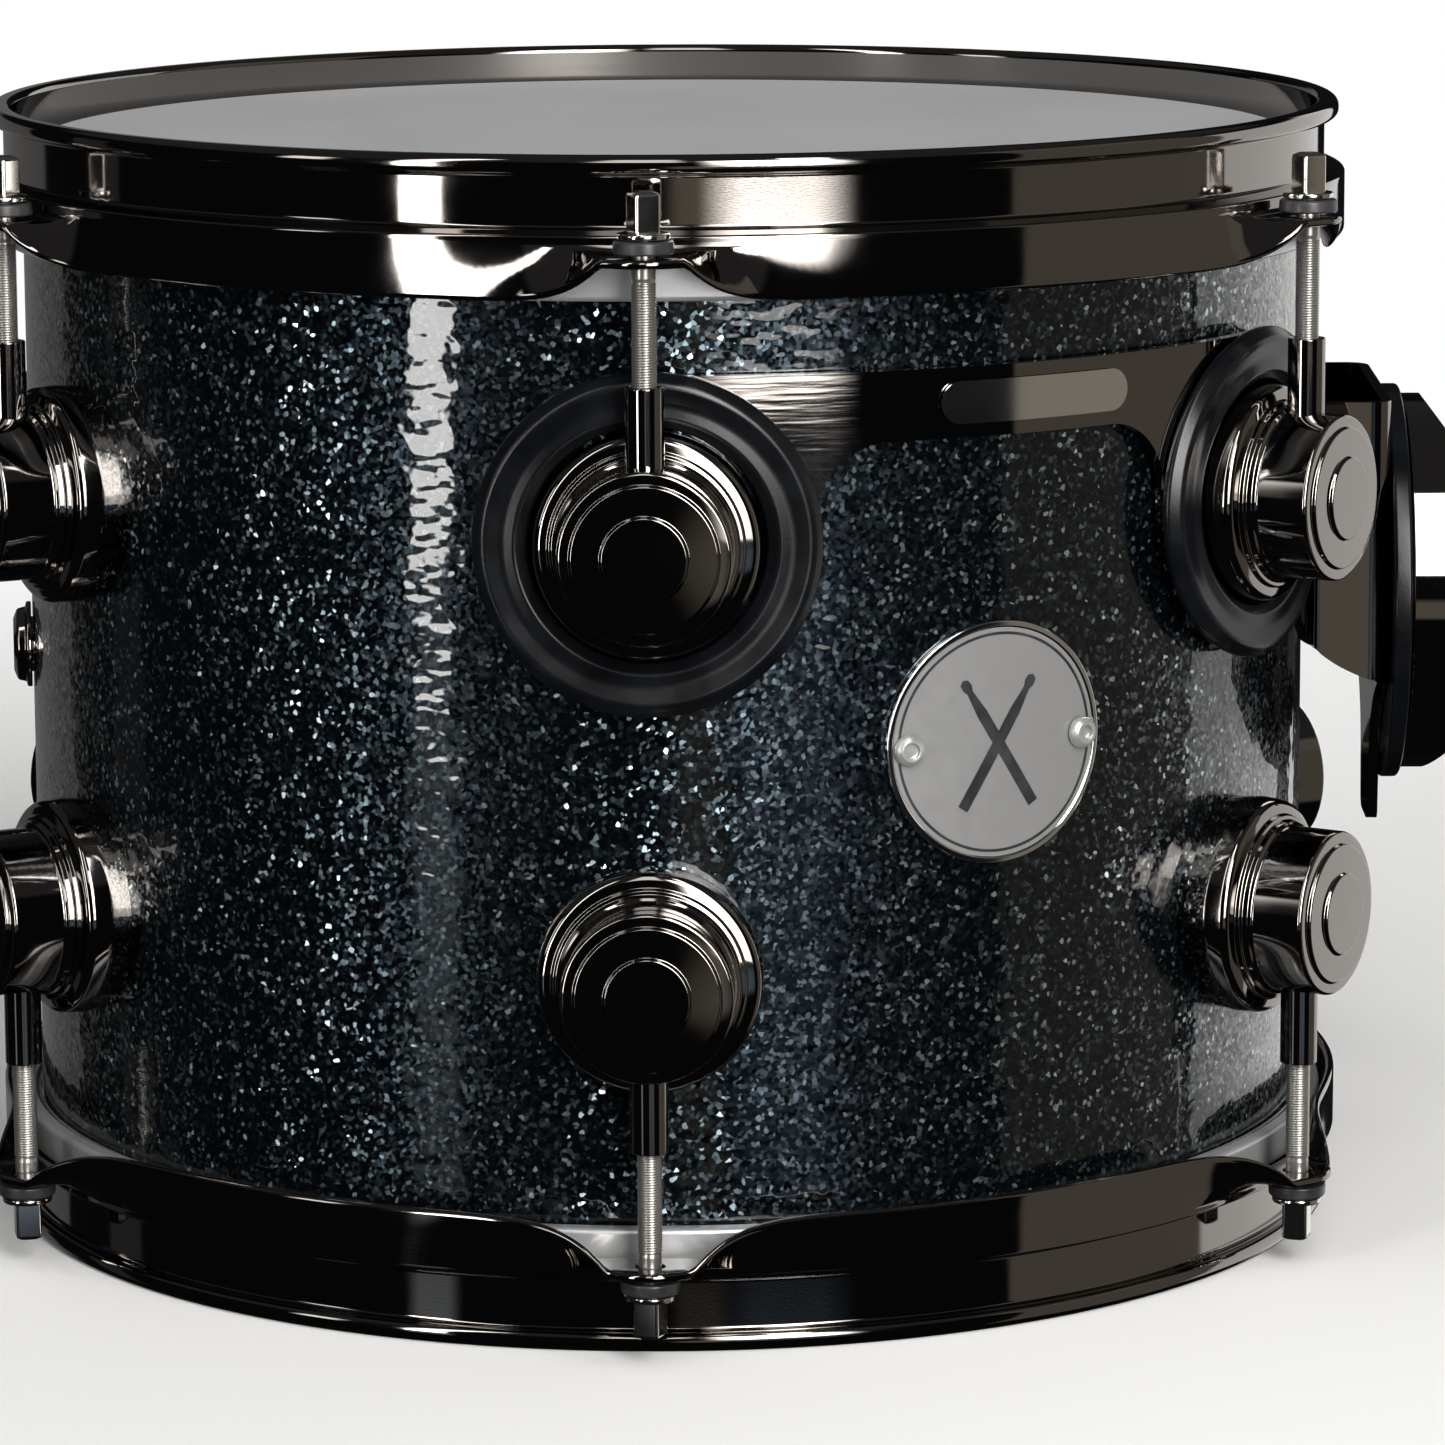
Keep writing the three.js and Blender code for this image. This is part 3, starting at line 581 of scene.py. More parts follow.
def soften(mesh, width):
    """Rounds a mesh's sharp edges."""
    sharpest = math.radians(30)
    work = editable(mesh)
    sharp = [edge for edge in work.edges if len(edge.link_faces) == 2 and edge.calc_face_angle() > sharpest]
    bmesh.ops.bevel(work, geom=sharp, offset=width * MM, segments=2, affect="EDGES", clamp_overlap=True)
    put_back(work, mesh, 40)


def joined(name, *meshes):
    """Several meshes as one."""
    work = bmesh.new()
    for mesh in meshes:
        work.from_mesh(mesh)
    return put_back(work, bpy.data.meshes.new(name))


# ---- lugs, rods, washers ----


def lug_mesh():
    seat = DRUM_RADIUS - 2.4
    face = LUG_FACE
    profile = rounded([
        (AXIS, seat), (24.2, seat), (24.6, DRUM_RADIUS + 0.6, 0.6), (25, 158, 8), (24.6, 163.2, 2.2),
        (21.4, 163.9, 0.4), (21.2, 164.9, 0.4), (20.2, 165.1, 0.4), (19.9, 166.3, 0.5), (18.95, 166.9, 0.8),
        (18.9, face - 2.3, 0.9), (16.2, face - 2.1, 0.3), (15.9, face - 1.2, 0.5), (9.6, face - 1.0, 0.3),
        (9.25, face - 0.1, 0.45), (AXIS, face),
    ], steps=4)
    body = facing_out(turned("lug_body", profile, 96, False), LUG_HEIGHT)
    tube_low, tube_high = LUG_HEIGHT + 12, TUBE_END
    bore = 3.15
    tube = rounded([
        (4.25, tube_low), (4.25, tube_high, 0.35), (bore, tube_high, 0.25), (bore, tube_low),
    ], True)
    sleeve = moved(turned("lug_tube", tube, 48), shift(0, -ROD_CIRCLE, 0))
    return joined("lug", body, sleeve)


def thread(radius, depth, pitch, low, high):
    """A helical screw thread's flank and crest, from low to high."""
    steps = 24
    turns = (high - low) / pitch
    section = [(0.0, radius - depth), (0.42 * pitch, radius), (0.58 * pitch, radius)]
    rows = []
    for i in range(int(turns * steps) + 1):
        angle = 2 * math.pi * i / steps
        base = low + pitch * i / steps
        rows.append([(r * math.sin(angle), -r * math.cos(angle), base + rise) for rise, r in section])
    rows = np.array(rows)
    next_turn = rows[steps:, :1]
    return grid("thread", np.concatenate([rows[:-steps], next_turn], axis=1), False, False)


def shank_mesh():
    core, plain = 2.48, 2.62
    low, high = ROD_END, 106.5
    screw = thread(2.75, 0.26, 0.59, low, high)
    shaft = turned("rod_core", rounded([
        (AXIS, low), (core, low, 0.3), (core, high, 0.2), (plain, high + 0.8, 0.3), (plain, ROD_NECK),
        (AXIS, ROD_NECK),
    ]), 32, False)
    return joined("rod_shank", shaft, screw)


def rod_head_mesh():
    """The rod's flange and the square that a drum key turns."""
    flange = ROD_NECK + 1.3
    disc = turned("rod_flange", rounded([
        (AXIS, ROD_NECK), (5.75, ROD_NECK, 0.3), (5.75, flange - 0.1, 0.5), (3.6, flange + 0.35, 0.6),
        (AXIS, flange + 0.4),
    ]), 48, False)
    half = 2.95
    levels = [(flange - 0.2, half), (ROD_TOP - 1.25, half), (ROD_TOP - 0.75, half - 0.12),
              (ROD_TOP - 0.2, half - 0.95), (ROD_TOP, half - 1.6)]
    rows = []
    for height, reach in levels:
        corners = ((reach, reach), (-reach, reach), (-reach, -reach), (reach, -reach))
        rows.append([(x, y, height) for x, y in rounded([(*corner, 0.7) for corner in corners], True)])
    square = grid("rod_square", rows, False, True)
    cap = editable(square)
    for loop_height in (levels[0][0], levels[-1][0]):
        ring = [edge for edge in cap.edges if edge.is_boundary
                and all(abs(vertex.co.z - loop_height * MM) < 1e-6 for vertex in edge.verts)]
        bmesh.ops.contextual_create(cap, geom=ring)
    bmesh.ops.recalc_face_normals(cap, faces=cap.faces)
    return joined("rod_head", disc, put_back(cap, square))


def washer_mesh():
    bore = 3.2
    profile = rounded([
        (bore, WASHER_LOW, 0.2), (6.65, WASHER_LOW, 0.5), (6.5, WASHER_HIGH, 0.7), (bore, WASHER_HIGH, 0.2),
    ], True)
    return moved(turned("rod_washer", profile, 48), shift(0, -ROD_CIRCLE, 0))


def lug_sets():
    """Each rod is left at its own turn in its lug, wherever tuning stopped."""
    shapes = (
        ("lug", lug_mesh(), CAST_NICKEL, "black_nickel"),
        ("rod_washer", washer_mesh(), NYLON, "nylon"),
        ("tension_rod", shank_mesh(), THREAD_STEEL, "bright_nickel"),
        ("tension_rod_head", rod_head_mesh(), BRIGHT_NICKEL, "bright_nickel"),
    )
    on_rod_circle = shift(0, -ROD_CIRCLE, 0)
    for name, batter, material, slot in shapes:
        resonant = other_head(batter.copy())
        for side, mesh, first_turn in (("batter", batter, 23), ("resonant", resonant, 68)):
            for i in range(LUGS):
                cad = f"{side}_{name}_{i + 1}"
                body, place, replaced = "drum", Matrix(), [cad]
                if name.startswith("tension_rod"):
                    body = f"{side}_tension_rod_{i + 1}"
                    place = on_rod_circle @ Matrix.Rotation(math.radians(first_turn + 37 * i), 4, "Z")
                    replaced = [body] if name == "tension_rod" else []
                piece(f"{cad}_look", mesh, material, body, replaced, 360 / LUGS * i, place)


# ---- suspension plate and grommets ----

BRIDGE_OUT, BRIDGE_HALF, BEND = 169.75, 33.0, 4.0
BEND_OUT = math.sqrt((PLATE_RADIUS + BEND) ** 2 - (BRIDGE_HALF + 2 * BEND) ** 2)
LAST_BEND = math.atan2(BEND_OUT, BRIDGE_HALF + 2 * BEND)
PLAN = (
    (BRIDGE_HALF, 0.0),
    (BEND * QUARTER, -QUARTER),
    (BRIDGE_OUT - BEND - BEND_OUT, 0.0),
    (BEND * LAST_BEND, LAST_BEND),
    (PLATE_RADIUS * (LAST_BEND + 0.3), -(LAST_BEND + 0.3)),
)
WRAP_START = sum(length for length, _ in PLAN[:4])


def along_at(degrees):
    return WRAP_START + PLATE_RADIUS * (LAST_BEND - math.radians(degrees))


def plan_at(distance):
    """The plate's middle line seen from above, and its heading, at a distance from the bridge's middle."""
    x, y, heading, left = BRIDGE_OUT, 0.0, -QUARTER, distance
    for length, turn in PLAN:
        run = min(left, length)
        turned_by = turn * run / length
        chord = run if turn == 0 else 2 * length / turn * math.sin(turned_by / 2)
        x += chord * math.cos(heading + turned_by / 2)
        y += chord * math.sin(heading + turned_by / 2)
        heading += turned_by
        left -= run
        if left <= 0:
            break
    return x, y, heading


def arc(x, y, radius, start, end, steps=40):
    return [(x + radius * math.cos(a), y + radius * math.sin(a)) for a in np.linspace(start, end, steps)]


def curve(start, control, end, steps=16):
    t = np.linspace(0, 1, steps)[:, None]
    points = (1 - t) ** 2 * np.array(start) + 2 * t * (1 - t) * np.array(control) + t**2 * np.array(end)
    return [tuple(point) for point in points]


def plate_half():
    """Half the plate's outline laid flat, from the bridge's top round both rings to the tongue's foot."""
    near, far = along_at(60), along_at(0)
    ring = 36.5
    top, low, fillet = LUG_HEIGHT + ring, 69.0, 17.0
    level = low - fillet
    rise = level - LUG_HEIGHT
    run = math.sqrt((ring + fillet) ** 2 - rise**2)
    lean = math.atan2(rise, run)
    outline = [(0, 63)] + curve((52, 63), (58, 63), (62, 68)) + curve((62, 68), (78, top), (near, top))
    outline += arc(far, LUG_HEIGHT, ring, QUARTER, -math.pi - lean, 90)
    outline += arc(far - run, level, fillet, -lean, QUARTER, 24)
    outline += arc(near + run, level, fillet, QUARTER, math.pi + lean, 24)
    outline += arc(near, LUG_HEIGHT, ring, lean, -math.pi * 0.72, 60)
    outline += curve((52, 5), (47, 0), (38, -3)) + curve((38, -3), (12, -10), (11, -30))
    outline += curve((10, -38), (10, -42), (6, -42)) + [(0, -42)]
    return outline


def plate_lean(along):
    """How far the plate leans back for each millimetre of height: most at the front, none at the bridge."""
    return np.interp(along, [WRAP_START, along_at(20), along_at(8)], [0, 0.0098, 0.0121])


def plate_piece():
    """The plate is drawn flat, cut into upright strips, thickened and then bent along its plan."""
    half = plate_half()
    outline = half + [(-x, y) for x, y in half[-2:0:-1]]
    flat = bmesh.new()

    def loop(points):
        made = [flat.verts.new((x * MM, y * MM, 0)) for x, y in points]
        for a, b in zip(made, made[1:] + made[:1]):
            if (a.co - b.co).length > 1e-6:
                flat.edges.new((a, b))

    loop(outline)
    for side in (-1, 1):
        for degrees in (0, 60):
            loop(arc(side * along_at(degrees), LUG_HEIGHT, 29, 0, 2 * math.pi, 73)[:-1])
    bmesh.ops.remove_doubles(flat, verts=flat.verts, dist=1e-5)
    bmesh.ops.triangle_fill(flat, edges=flat.edges, use_beauty=False)
    end = along_at(-17)
    even = np.arange(-end, end, 3.0)
    at_bends = [side * (BRIDGE_HALF + d) for side in (-1, 1) for d in np.arange(0, 24, 0.6)]
    for x in sorted([*even, *at_bends]):
        geometry = flat.verts[:] + flat.edges[:] + flat.faces[:]
        bmesh.ops.bisect_plane(flat, geom=geometry, plane_co=(x * MM, 0, 0), plane_no=(1, 0, 0), dist=1e-7)
    slanted = [edge for edge in flat.edges
               if len(edge.link_faces) == 2 and abs(edge.verts[0].co.x - edge.verts[1].co.x) > 1e-6]
    bmesh.ops.dissolve_edges(flat, edges=slanted, use_verts=False)
    sheet = in_scene("plate_sheet", put_back(flat, bpy.data.meshes.new("plate_sheet")))
    thick = sheet.modifiers.new("thick", "SOLIDIFY")
    thick.thickness = PLATE * MM
    thick.offset = 0
    edge = sheet.modifiers.new("edge", "BEVEL")
    edge.width = 0.45 * MM
    edge.segments = 3
    edge.limit_method = "ANGLE"
    edge.angle_limit = math.radians(50)
    solid = evaluated(sheet)
    bpy.data.objects.remove(sheet)
    for vertex in solid.vertices:
        side = 1 if vertex.co.x >= 0 else -1
        along = abs(vertex.co.x) / MM
        x, y, heading = plan_at(along)
        out = vertex.co.z / MM - plate_lean(along) * (vertex.co.y / MM - LUG_HEIGHT)
        x, y = x - math.sin(heading) * out, side * (y + math.cos(heading) * out)
        vertex.co = (x * MM, y * MM, vertex.co.y)
    points = [vertex.co for vertex in solid.vertices]
    faces = [tuple(face.vertices) for face in solid.polygons]
    mesh = mesh_from("suspension_plate_look", points, faces)
    piece("suspension_plate_look", mesh, ROLLED_NICKEL, replaced=["suspension_plate"])


def grommet_pieces():
    front = PLATE / 2 + 0.3
    profile = rounded([
        (25.2, -2.6, 0.4), (27.4, -2.6, 0.4), (27.4, front), (37.6, front, 0.6), (38, front + 1.8, 1.4),
        (35.2, front + 4.3, 2.2), (31, front + 3.3, 5), (28, front + 3.6, 1.4), (25.8, front + 1.6, 1.2),
    ], True, 6)
    mesh = wrapped(turned("grommet", profile, 128), PLATE_RADIUS)
    mesh = moved(mesh, shift(0, 0, LUG_HEIGHT))
    for i in range(1, 5):
        turn = 360 / LUGS * (i - 1)
        cad = [f"suspension_grommet_{i}"]
        piece(f"rubber_grommet_{i}", mesh, RUBBER, replaced=cad, turn=turn)


# ---- arm mount ----

ARM_AXIS, ARM_RADIUS = 200.3, 6.6
BOSS_HALF, SPLIT_HALF = 22.0, 0.3
JAW_HALF = 20.0
JAW_THICK = 10.5
HINGE_ACROSS, HINGE_RADIUS = 26.5, 4.5
SCREW_ACROSS = -15.0
SCREW_PLAY = 3.2
BORE_LIP = 0.045


def raise_faces(work, height):
    """Makes a flat shape a solid of some height."""
    raised = bmesh.ops.extrude_face_region(work, geom=work.faces[:])["geom"]
    corners = [part for part in raised if isinstance(part, bmesh.types.BMVert)]
    bmesh.ops.translate(work, vec=(0, 0, height * MM), verts=corners)
    bmesh.ops.recalc_face_normals(work, faces=work.faces)


def extruded(name, outline, low, high, bevel=0.6):
    """An outline in X and Y raised between two heights above mid-height, with softened edges."""
    work = bmesh.new()
    work.faces.new([work.verts.new((x * MM, y * MM, low * MM)) for x, y in outline])
    raise_faces(work, high - low)
    rims = [edge for edge in work.edges if abs(edge.verts[0].co.z - edge.verts[1].co.z) < 1e-7]
    bmesh.ops.bevel(work, geom=rims, offset=bevel * MM, segments=3, affect="EDGES", clamp_overlap=True)
    return put_back(work, bpy.data.meshes.new(name), 35)


def knuckle(low, high):
    ring = arc(ARM_AXIS, HINGE_ACROSS, HINGE_RADIUS, 0, 2 * math.pi, 41)[:-1]
    return extruded("knuckle", ring, low, high, 0.4)


def casting_piece():
    """A disc chamfered above and below, with a boss for the arm and two ears for the jaw's hinge."""
    back, corner, face, reach = 175.8, 180.6, 189.5, 45.0
    disc = facing_mount(turned("mount_disc", rounded([
        (AXIS, back), (reach, back, 0.6), (reach, face, 0.8), (AXIS, face),
    ]), 160, False))
    wedges = bmesh.new()
    for side in (-1, 1):
        outline = [(corner, reach), (face + 0.6, reach - 12.8), (face + 9, reach - 12.8),
                   (face + 9, reach + 2), (corner, reach + 2)]
        ends = [[wedges.verts.new((x * MM, y * MM, (MOUNT_HEIGHT + side * z) * MM)) for x, z in outline]
                for y in (-reach, reach)]
        wedges.faces.new(ends[0])
        wedges.faces.new(ends[1][::-1])
        for i in range(len(outline)):
            wedges.faces.new((ends[0][i - 1], ends[0][i], ends[1][i], ends[1][i - 1]))
    bmesh.ops.recalc_face_normals(wedges, faces=wedges.faces)
    cut_mesh(disc, wedges)
    soften(disc, 0.5)
    low, high = MOUNT_HEIGHT - JAW_HALF, MOUNT_HEIGHT + JAW_HALF
    bore = arc(ARM_AXIS, 0, ARM_RADIUS, -QUARTER - BORE_LIP, -3 * QUARTER + BORE_LIP, 28)
    split = ARM_AXIS - SPLIT_HALF
    boss = rounded([(face - 2, -BOSS_HALF), (split, -BOSS_HALF, 2)], steps=4) + bore
    boss += rounded([(split, BOSS_HALF, 1), (face - 2, BOSS_HALF)], steps=3)
    parts = [disc, extruded("boss", boss, low, high, 0.8)]
    ear = [(face - 2, 18), (ARM_AXIS - 1, 18), (ARM_AXIS - 1, HINGE_ACROSS), (ARM_AXIS - 4, HINGE_ACROSS + 1),
           (face - 2, 25)]
    for bottom, top in ((low, low + 10), (high - 10, high)):
        parts.append(extruded("ear", ear, bottom, top, 0.5))
        parts.append(knuckle(bottom, top))
    piece("mount_casting_look", joined("mount_casting_look", *parts), CAST_NICKEL,
          replaced=["mount_casting"])


def jaw_piece():
    """The jaw's screw hole is oval, so that the jaw can swing round the screw."""
    low, high = MOUNT_HEIGHT - JAW_HALF, MOUNT_HEIGHT + JAW_HALF
    inner, outer, arm_outer = ARM_AXIS + SPLIT_HALF, ARM_AXIS + JAW_THICK, ARM_AXIS + 4
    near_hinge = 21.3
    bore = arc(ARM_AXIS, 0, ARM_RADIUS, QUARTER - BORE_LIP, -QUARTER + BORE_LIP, 28)
    outline = [(inner, near_hinge)] + bore + rounded([
        (inner, -BOSS_HALF), (outer, -BOSS_HALF, 4), (outer, near_hinge, 7), (inner, near_hinge),
    ], steps=8)[:-1]
    body = extruded("jaw_body", outline, low, high, 1.0)
    hole = bmesh.new()
    oval = Matrix.Rotation(QUARTER, 4, "Y") @ Matrix.Diagonal((1, 1.12, 1, 1))
    add_cylinder(hole, 3.9, 30, 48, shift(ARM_AXIS + 5, SCREW_ACROSS + 0.45, MOUNT_HEIGHT) @ oval)
    cut_mesh(body, hole)
    bottom, top = low + 10.3, high - 10.3
    arm = [(inner, 18), (arm_outer, 18), (arm_outer, HINGE_ACROSS), (inner, HINGE_ACROSS)]
    mesh = joined("clamp_jaw_look", body, extruded("jaw_arm", arm, bottom, top, 0.4), knuckle(bottom, top))
    piece("clamp_jaw_look", mesh, BLACK_NICKEL, "clamp_jaw", ["clamp_jaw"])


def wing_screw_piece():
    tip, collar = 192, ARM_AXIS + JAW_THICK + SCREW_PLAY
    stem = turned("screw_stem", rounded([
        (AXIS, tip), (3, tip, 0.5), (3, collar, 0.2), (6, collar, 0.5), (6, collar + 3, 0.8),
        (4.6, collar + 4.4, 1.5), (4.3, collar + 11.5, 1.8), (AXIS, collar + 12),
    ]), 64, False)
    stem = moved(stem, Matrix.Rotation(QUARTER, 4, "Y"))
    half = curve((collar + 2, 4), (collar + 8, 20), (collar + 16, 19))
    half += curve((collar + 16, 19), (collar + 20, 17), (collar + 15, 9))
    half += curve((collar + 15, 9), (collar + 11, 4), (collar + 11, 0))
    outline = half + [(x, -y) for x, y in half[-2::-1]]
    unique = [point for i, point in enumerate(outline) if math.dist(point, outline[i - 1]) > 0.05]
    blade = moved(extruded("wing", unique, -1.8, 1.8, 0.9), Matrix.Rotation(QUARTER, 4, "X"))
    mesh = moved(joined("wing_screw_look", stem, blade), shift(0, SCREW_ACROSS, MOUNT_HEIGHT))
    piece("wing_screw_look", mesh, BLACK_NICKEL, "wing_screw", ["wing_screw"])


def gasket_piece():
    low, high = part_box("mount_gasket")
    reach = (high[2] - low[2]) / 2 / MM
    back, face = low[0] / MM, high[0] / MM
    mesh = facing_mount(turned("gasket", rounded([
        (AXIS, back), (reach, back, 0.8), (reach, face, 0.8), (AXIS, face),
    ]), 160, False))
    piece("mount_gasket_look", mesh, RUBBER, replaced=["mount_gasket"])


# ---- badge, label and vent ----

BADGE_ANGLE, BADGE_RADIUS = 30.0, 27.2


def flat_shape(outline, low, high, step=1.5):
    """A thin flat shape, scored so that it can bend round the drum."""
    work = bmesh.new()
    work.faces.new([work.verts.new((x * MM, y * MM, low * MM)) for x, y in outline])
    reach = max(abs(x) for x, _ in outline)
    for x in np.arange(-reach, reach, step):
        geometry = work.verts[:] + work.edges[:] + work.faces[:]
        bmesh.ops.bisect_plane(work, geom=geometry, plane_co=(x * MM, 0, 0), plane_no=(1, 0, 0), dist=1e-7)
    raise_faces(work, high - low)
    return put_back(work, bpy.data.meshes.new("flat_shape"), 40)


def on_badge(name, mesh, material, replaced=()):
    piece(name, wrapped(mesh, DRUM_RADIUS), material, replaced=replaced, turn=BADGE_ANGLE)


def stick(angle, length=34, thick=1.3):
    """A drumstick's outline, tip up, leaning by an angle."""
    half = length / 2
    side = [(thick, -half), (thick, half - 9), (thick * 0.55, half - 3.4), (thick * 0.95, half - 2),
            (thick * 0.8, half - 0.6), (0, half)]
    outline = side + [(-x, y) for x, y in side[-2::-1]]
    cos, sin = math.cos(math.radians(angle)), math.sin(math.radians(angle))
    return [(x * cos - y * sin, x * sin + y * cos) for x, y in outline]


def badge_pieces():
    face = turned("badge_face", rounded([
        (AXIS, 0.3), (BADGE_RADIUS, 0.3, 0.1), (BADGE_RADIUS, 1.25, 0.3), (BADGE_RADIUS - 1.1, 1.25, 0.25),
        (BADGE_RADIUS - 1.5, 1.0, 0.1), (20, 1.0), (12, 1.0), (6, 1.0), (AXIS, 1.0),
    ]), 96, False)
    on_badge("badge_plate", face, BADGE_METAL, ["badge"])
    rim = turned("badge_rim", rounded([
        (BADGE_RADIUS - 1.5, 0.9), (BADGE_RADIUS + 0.05, 0.35), (BADGE_RADIUS + 0.05, 1.32, 0.4),
        (BADGE_RADIUS - 1.15, 1.32, 0.3), (BADGE_RADIUS - 1.5, 1.04),
    ], True), 96)
    on_badge("badge_rim", rim, BADGE_EDGE)
    ring = turned("badge_ring", [(24.1, 1.0), (24.7, 1.0), (24.7, 1.12), (24.1, 1.12)], 96)
    on_badge("badge_ring_inlay", ring, INLAY)
    for name, lean, top in (("left", 32, 1.16), ("right", -32, 1.2)):
        on_badge(f"badge_stick_{name}", flat_shape(stick(lean), 1.0, top), INLAY)
    seat, socket, across = DRUM_RADIUS + 1.5, 1.75, 22.1
    head = turned("badge_screw_head", rounded([
        (socket, seat + 0.9), (socket, seat + 2.0, 0.1), (2.4, seat + 2.0, 0.2), (3.4, seat + 1.2, 0.9),
        (3.6, seat, 0.1), (AXIS, seat - 0.2),
    ])[::-1] + [(AXIS, seat + 0.7)], 48, False)
    hexagon = flat_shape(arc(0, 0, socket, 0, 2 * math.pi, 7)[:-1], seat + 0.5, seat + 0.95, 5)
    screw = facing_out(joined("badge_screw", head, hexagon))
    for side, name in ((-1, "left"), (1, "right")):
        turn = BADGE_ANGLE + math.degrees(side * across / DRUM_RADIUS)
        piece(f"badge_screw_{name}_look", screw, SCREW_STEEL,
              replaced=[f"badge_screw_{name}"], turn=turn)


def label_piece():
    half_length, half_width, height, angle = 24.7, 4.7, 76.8, 32.9
    straight = half_length - half_width
    outline = arc(-straight, 0, half_width, QUARTER, 3 * QUARTER, 24)
    outline += arc(straight, 0, half_width, -QUARTER, QUARTER, 24)
    mesh = wrapped(flat_shape(outline, 0.25, 0.65), PLATE_RADIUS + PLATE / 2)
    mesh = moved(mesh, shift(0, 0, height))
    piece("blank_label", mesh, LABEL_METAL, replaced=["mount_label"], turn=angle)


def vent_piece():
    inside, seat, bore, barrel, flange = 139, DRUM_RADIUS + 0.3, 4.5, 6.6, 10.2
    height, angle = 3.2, -82.7
    mesh = facing_out(turned("air_vent_look", rounded([
        (bore, inside), (barrel, inside, 0.3), (barrel, seat, 0.1), (flange, seat, 0.3),
        (flange, seat + 1.2, 0.5), (9.0, seat + 1.4, 0.4), (8.5, seat + 3.4, 1.0), (6, seat + 4.4, 1.4),
        (bore, seat + 4.0, 0.6),
    ], True), 80), height)
    piece("air_vent_look", mesh, BLACK_NICKEL, replaced=["air_vent"], turn=angle)


def keep_cad(name, material):
    """A CAD node whose shape is already right takes a finished material."""
    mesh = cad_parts[name].data
    mesh.materials.clear()
    mesh.materials.append(material)


# ---- stage, light and camera ----

CAMERA_AZIMUTH = 1.549


def fade(tree, value, dark, lit):
    """0 at dark and 1 at lit, with a smooth step between."""
    made = node(tree, "ShaderNodeMapRange", interpolation_type="SMOOTHSTEP")
    link(tree, value, made.inputs["Value"])
    made.inputs["From Min"].default_value = math.radians(dark)
    made.inputs["From Max"].default_value = math.radians(lit)
    return made.outputs["Result"]


WHITE = (1, 1, 1)
WARM = (1, 0.99, 0.97)
WARMER = (1, 0.98, 0.95)

# Each panel of light round the drum: its middle and half width in degrees round from the camera, its lowest
# and highest elevation, strength and colour, and how softly its sides and its lower edge fade.
PANELS = (
    (-41.65, 3.55, -8.7, 2, 16.0, WARM, 0.4, 0.6),
    (-41.65, 3.55, 5, 55, 6.0, WARM, 0.6, 3),
    (-41.65, 3.8, -14, -9, 0.6, (0.85, 0.95, 1), 1.5, 3),
    (19.0, 9.5, -5.9, 42, 6.4, WARMER, 4.5, 0.35),
    (19.0, 9.5, 3, 42, 9.4, WARMER, 4.5, 3),
    (5.0, 4, -14, -6, 0.25, (1, 0.9, 0.72), 2, 2),
    (20.0, 9, -14, -10, 0.2, (0.78, 1.05, 1.4), 4, 2),
    (-62, 4, 3, 20, 3.2, WARMER, 1.5, 2),
    (-5, 8, 30, 62, 2.4, WARM, 2, 3),
    (84, 23, -35, 40, 0.175, (1, 0.89, 0.73), 0.6, 4),
    (132.5, 25.5, -28, 18, 1.0, WARM, 0.8, 4),
    (-112, 5, -25, 10, 0.04, WHITE, 0.6, 4),
    (-156, 22, -25, 8, 0.13, WARM, 0.8, 4),
    (0, 200, 30, 90, 0.04, WHITE, 1, 5),
)
DARK_ROOM = (0.007, 0.007, 0.008)


def studio_world():
    """A dark room with soft panels of light in it. The camera itself sees only white paper."""
    world = bpy.data.worlds.new("studio")
    bpy.context.scene.world = world
    world.use_nodes = True
    tree = world.node_tree
    where = node(tree, "ShaderNodeTexCoord")
    parts = node(tree, "ShaderNodeSeparateXYZ")
    link(tree, where.outputs["Generated"], parts.inputs["Vector"])
    toward_camera = math_node(tree, "MULTIPLY", parts.outputs["Y"], -1.0)
    azimuth = math_node(tree, "ARCTAN2", parts.outputs["X"], toward_camera)
    elevation = math_node(tree, "ARCSINE", parts.outputs["Z"])
    total = DARK_ROOM
    for middle_at, half, low, high, strength, color, soft, soft_low in PANELS:
        turned_by = math_node(tree, "SUBTRACT", azimuth, math.radians(middle_at + CAMERA_AZIMUTH))
        aside = math_node(tree, "ABSOLUTE", math_node(tree, "WRAP", turned_by, math.pi, -math.pi))
        across = fade(tree, aside, half + soft, half - soft)
        upward = fade(tree, elevation, low - soft_low, low + soft_low * 0.3)
        downward = fade(tree, elevation, high + 4, high)
        lit = math_node(tree, "MULTIPLY", math_node(tree, "MULTIPLY", across, upward), downward)
        glow = vector_node(tree, "MULTIPLY", tuple(channel * strength for channel in color), lit)
        total = vector_node(tree, "ADD", total, glow)
    room = tree.nodes["Background"]
    link(tree, total, room.inputs["Color"])
    paper = node(tree, "ShaderNodeBackground", Strength=1.0)
    paper.inputs["Color"].default_value = (1, 1, 1, 1)
    path = node(tree, "ShaderNodeLightPath")
    choice = node(tree, "ShaderNodeMixShader")
    link(tree, path.outputs["Is Camera Ray"], choice.inputs["Fac"])
    link(tree, room.outputs["Background"], choice.inputs[1])
    link(tree, paper.outputs["Background"], choice.inputs[2])
    link(tree, choice.outputs["Shader"], tree.nodes["World Output"].inputs["Surface"])


def softbox(name, place, target, size, power, reflected=False):
    """A soft lamp, which shows in the polished metal only if it is meant to."""
    light = bpy.data.lights.new(name, "AREA")
    light.shape = "RECTANGLE"
    light.size, light.size_y = size
    light.energy = power
    lamp = in_scene(name, light)
    lamp.location = place
    lamp.rotation_euler = (Vector(target) - Vector(place)).to_track_quat("-Z", "Y").to_euler()
    lamp.visible_glossy = reflected
    lamp.visible_camera = False


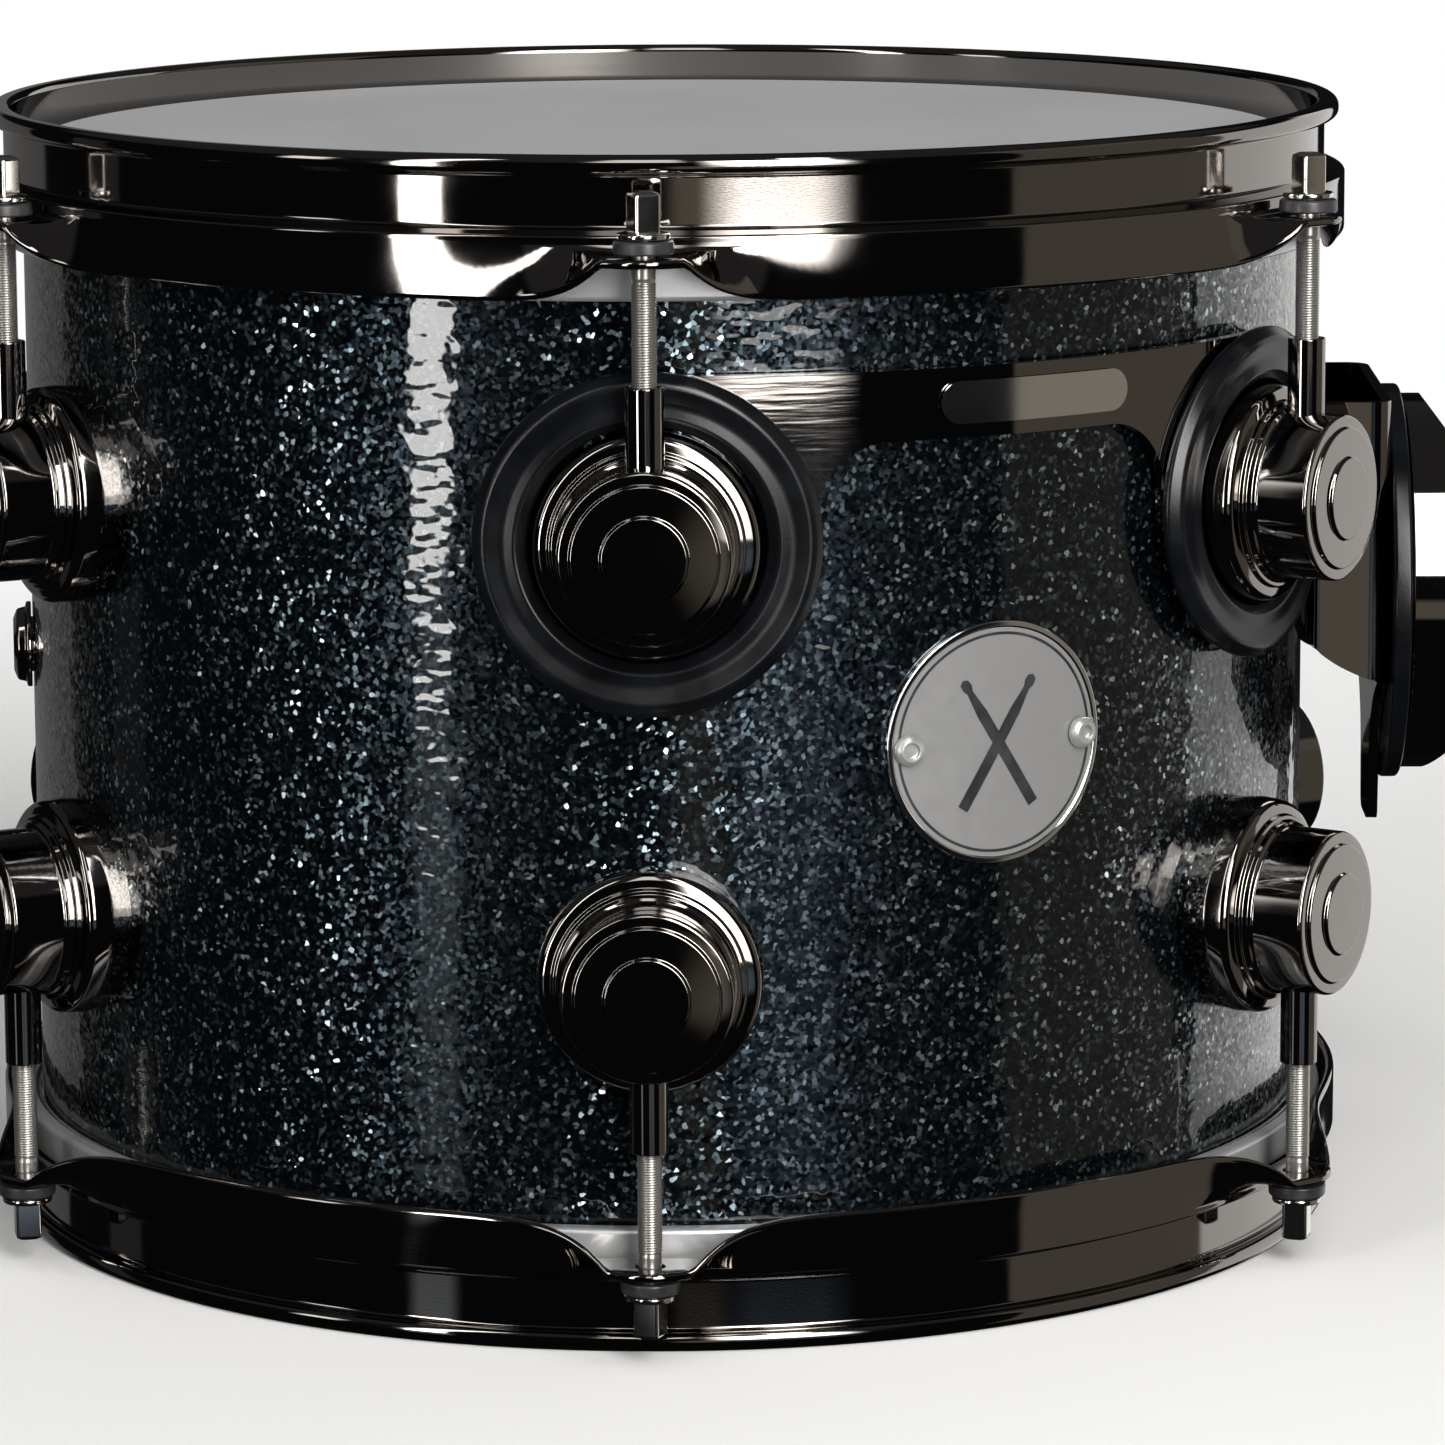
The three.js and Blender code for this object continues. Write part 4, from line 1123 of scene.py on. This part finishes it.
def stage():
    """A pale floor that brightens, far from the drum, into the white round it, so that no horizon shows."""
    floor_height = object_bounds()[0][2] / MM
    mesh = turned("pale_floor", [(radius, floor_height) for radius in (AXIS, 500, 1500, 8000)], 64, False)
    material, tree, shader = new_material("pale_floor", Roughness=0.8, Base_Color=(0.88, 0.88, 0.88, 1))
    mesh.materials.append(material)
    distance = node(tree, "ShaderNodeVectorMath", operation="LENGTH")
    link(tree, position(tree), distance.inputs[0])
    far = node(tree, "ShaderNodeMapRange", interpolation_type="SMOOTHSTEP")
    link(tree, distance.outputs["Value"], far.inputs["Value"])
    far.inputs["From Min"].default_value = 0.35
    far.inputs["From Max"].default_value = 1.3
    white = node(tree, "ShaderNodeEmission", Strength=1.0)
    choice = node(tree, "ShaderNodeMixShader")
    link(tree, far.outputs["Result"], choice.inputs["Fac"])
    link(tree, shader.outputs["BSDF"], choice.inputs[1])
    link(tree, white.outputs["Emission"], choice.inputs[2])
    link(tree, choice.outputs["Shader"], tree.nodes["Material Output"].inputs["Surface"])
    floor = in_scene("pale_floor", mesh)
    floor.visible_glossy = False
    floor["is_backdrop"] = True


def lamps():
    softbox("overhead", (0.0, 0.1, 1.9), (0, 0.1, 0), (2.2, 2.0), 12)
    softbox("front", (0.3, -2.4, 0.9), (0, 0, 0.1), (1.8, 1.4), 12)
    softbox("near_card", (0.238, -0.545, 0.57), (0.185, -0.045, 0.3), (0.08, 0.66), 1.3, True)


def camera():
    """The photograph's camera: 1.53 m from the drum's axis, looking 10.3 degrees down."""
    focal_px, frame_px = 6432.6, 1445
    distance, above_middle = 1533.1, 259.0
    azimuth, yaw, pitch, roll = (math.radians(a) for a in (CAMERA_AZIMUTH, 0.494, 10.306, 0.267))
    data = bpy.data.cameras.new("photo_camera")
    data.sensor_width = 36
    data.lens = data.sensor_width * focal_px / frame_px
    data.clip_start, data.clip_end = 0.05, 30
    ahead = Vector((math.sin(yaw), math.cos(yaw), 0))
    right = Vector((math.cos(yaw), -math.sin(yaw), 0))
    forward = ahead * math.cos(pitch) - Vector((0, 0, 1)) * math.sin(pitch)
    up = ahead * math.sin(pitch) + Vector((0, 0, 1)) * math.cos(pitch)
    screen_right = right * math.cos(roll) - up * math.sin(roll)
    screen_up = right * math.sin(roll) + up * math.cos(roll)
    matrix = Matrix((screen_right, screen_up, -forward)).transposed().to_4x4()
    matrix.translation = Vector((0, -distance, above_middle + MID_HEIGHT)) * MM
    made = in_scene("photo_camera", data)
    made.matrix_world = Matrix.Rotation(azimuth, 4, "Z") @ matrix
    bpy.context.scene.camera = made


wrap_piece()
head_pieces()
flesh_hoop_pieces()
hoop_pieces()
lug_sets()
plate_piece()
grommet_pieces()
gasket_piece()
casting_piece()
jaw_piece()
wing_screw_piece()
badge_pieces()
label_piece()
vent_piece()
keep_cad("shell", MAPLE)
keep_cad("jaw_hinge_pin", BRIGHT_NICKEL)
keep_cad("air_vent_nut", BRASS)

stage()
studio_world()
lamps()
camera()
bpy.context.scene.view_settings.view_transform = "Standard"
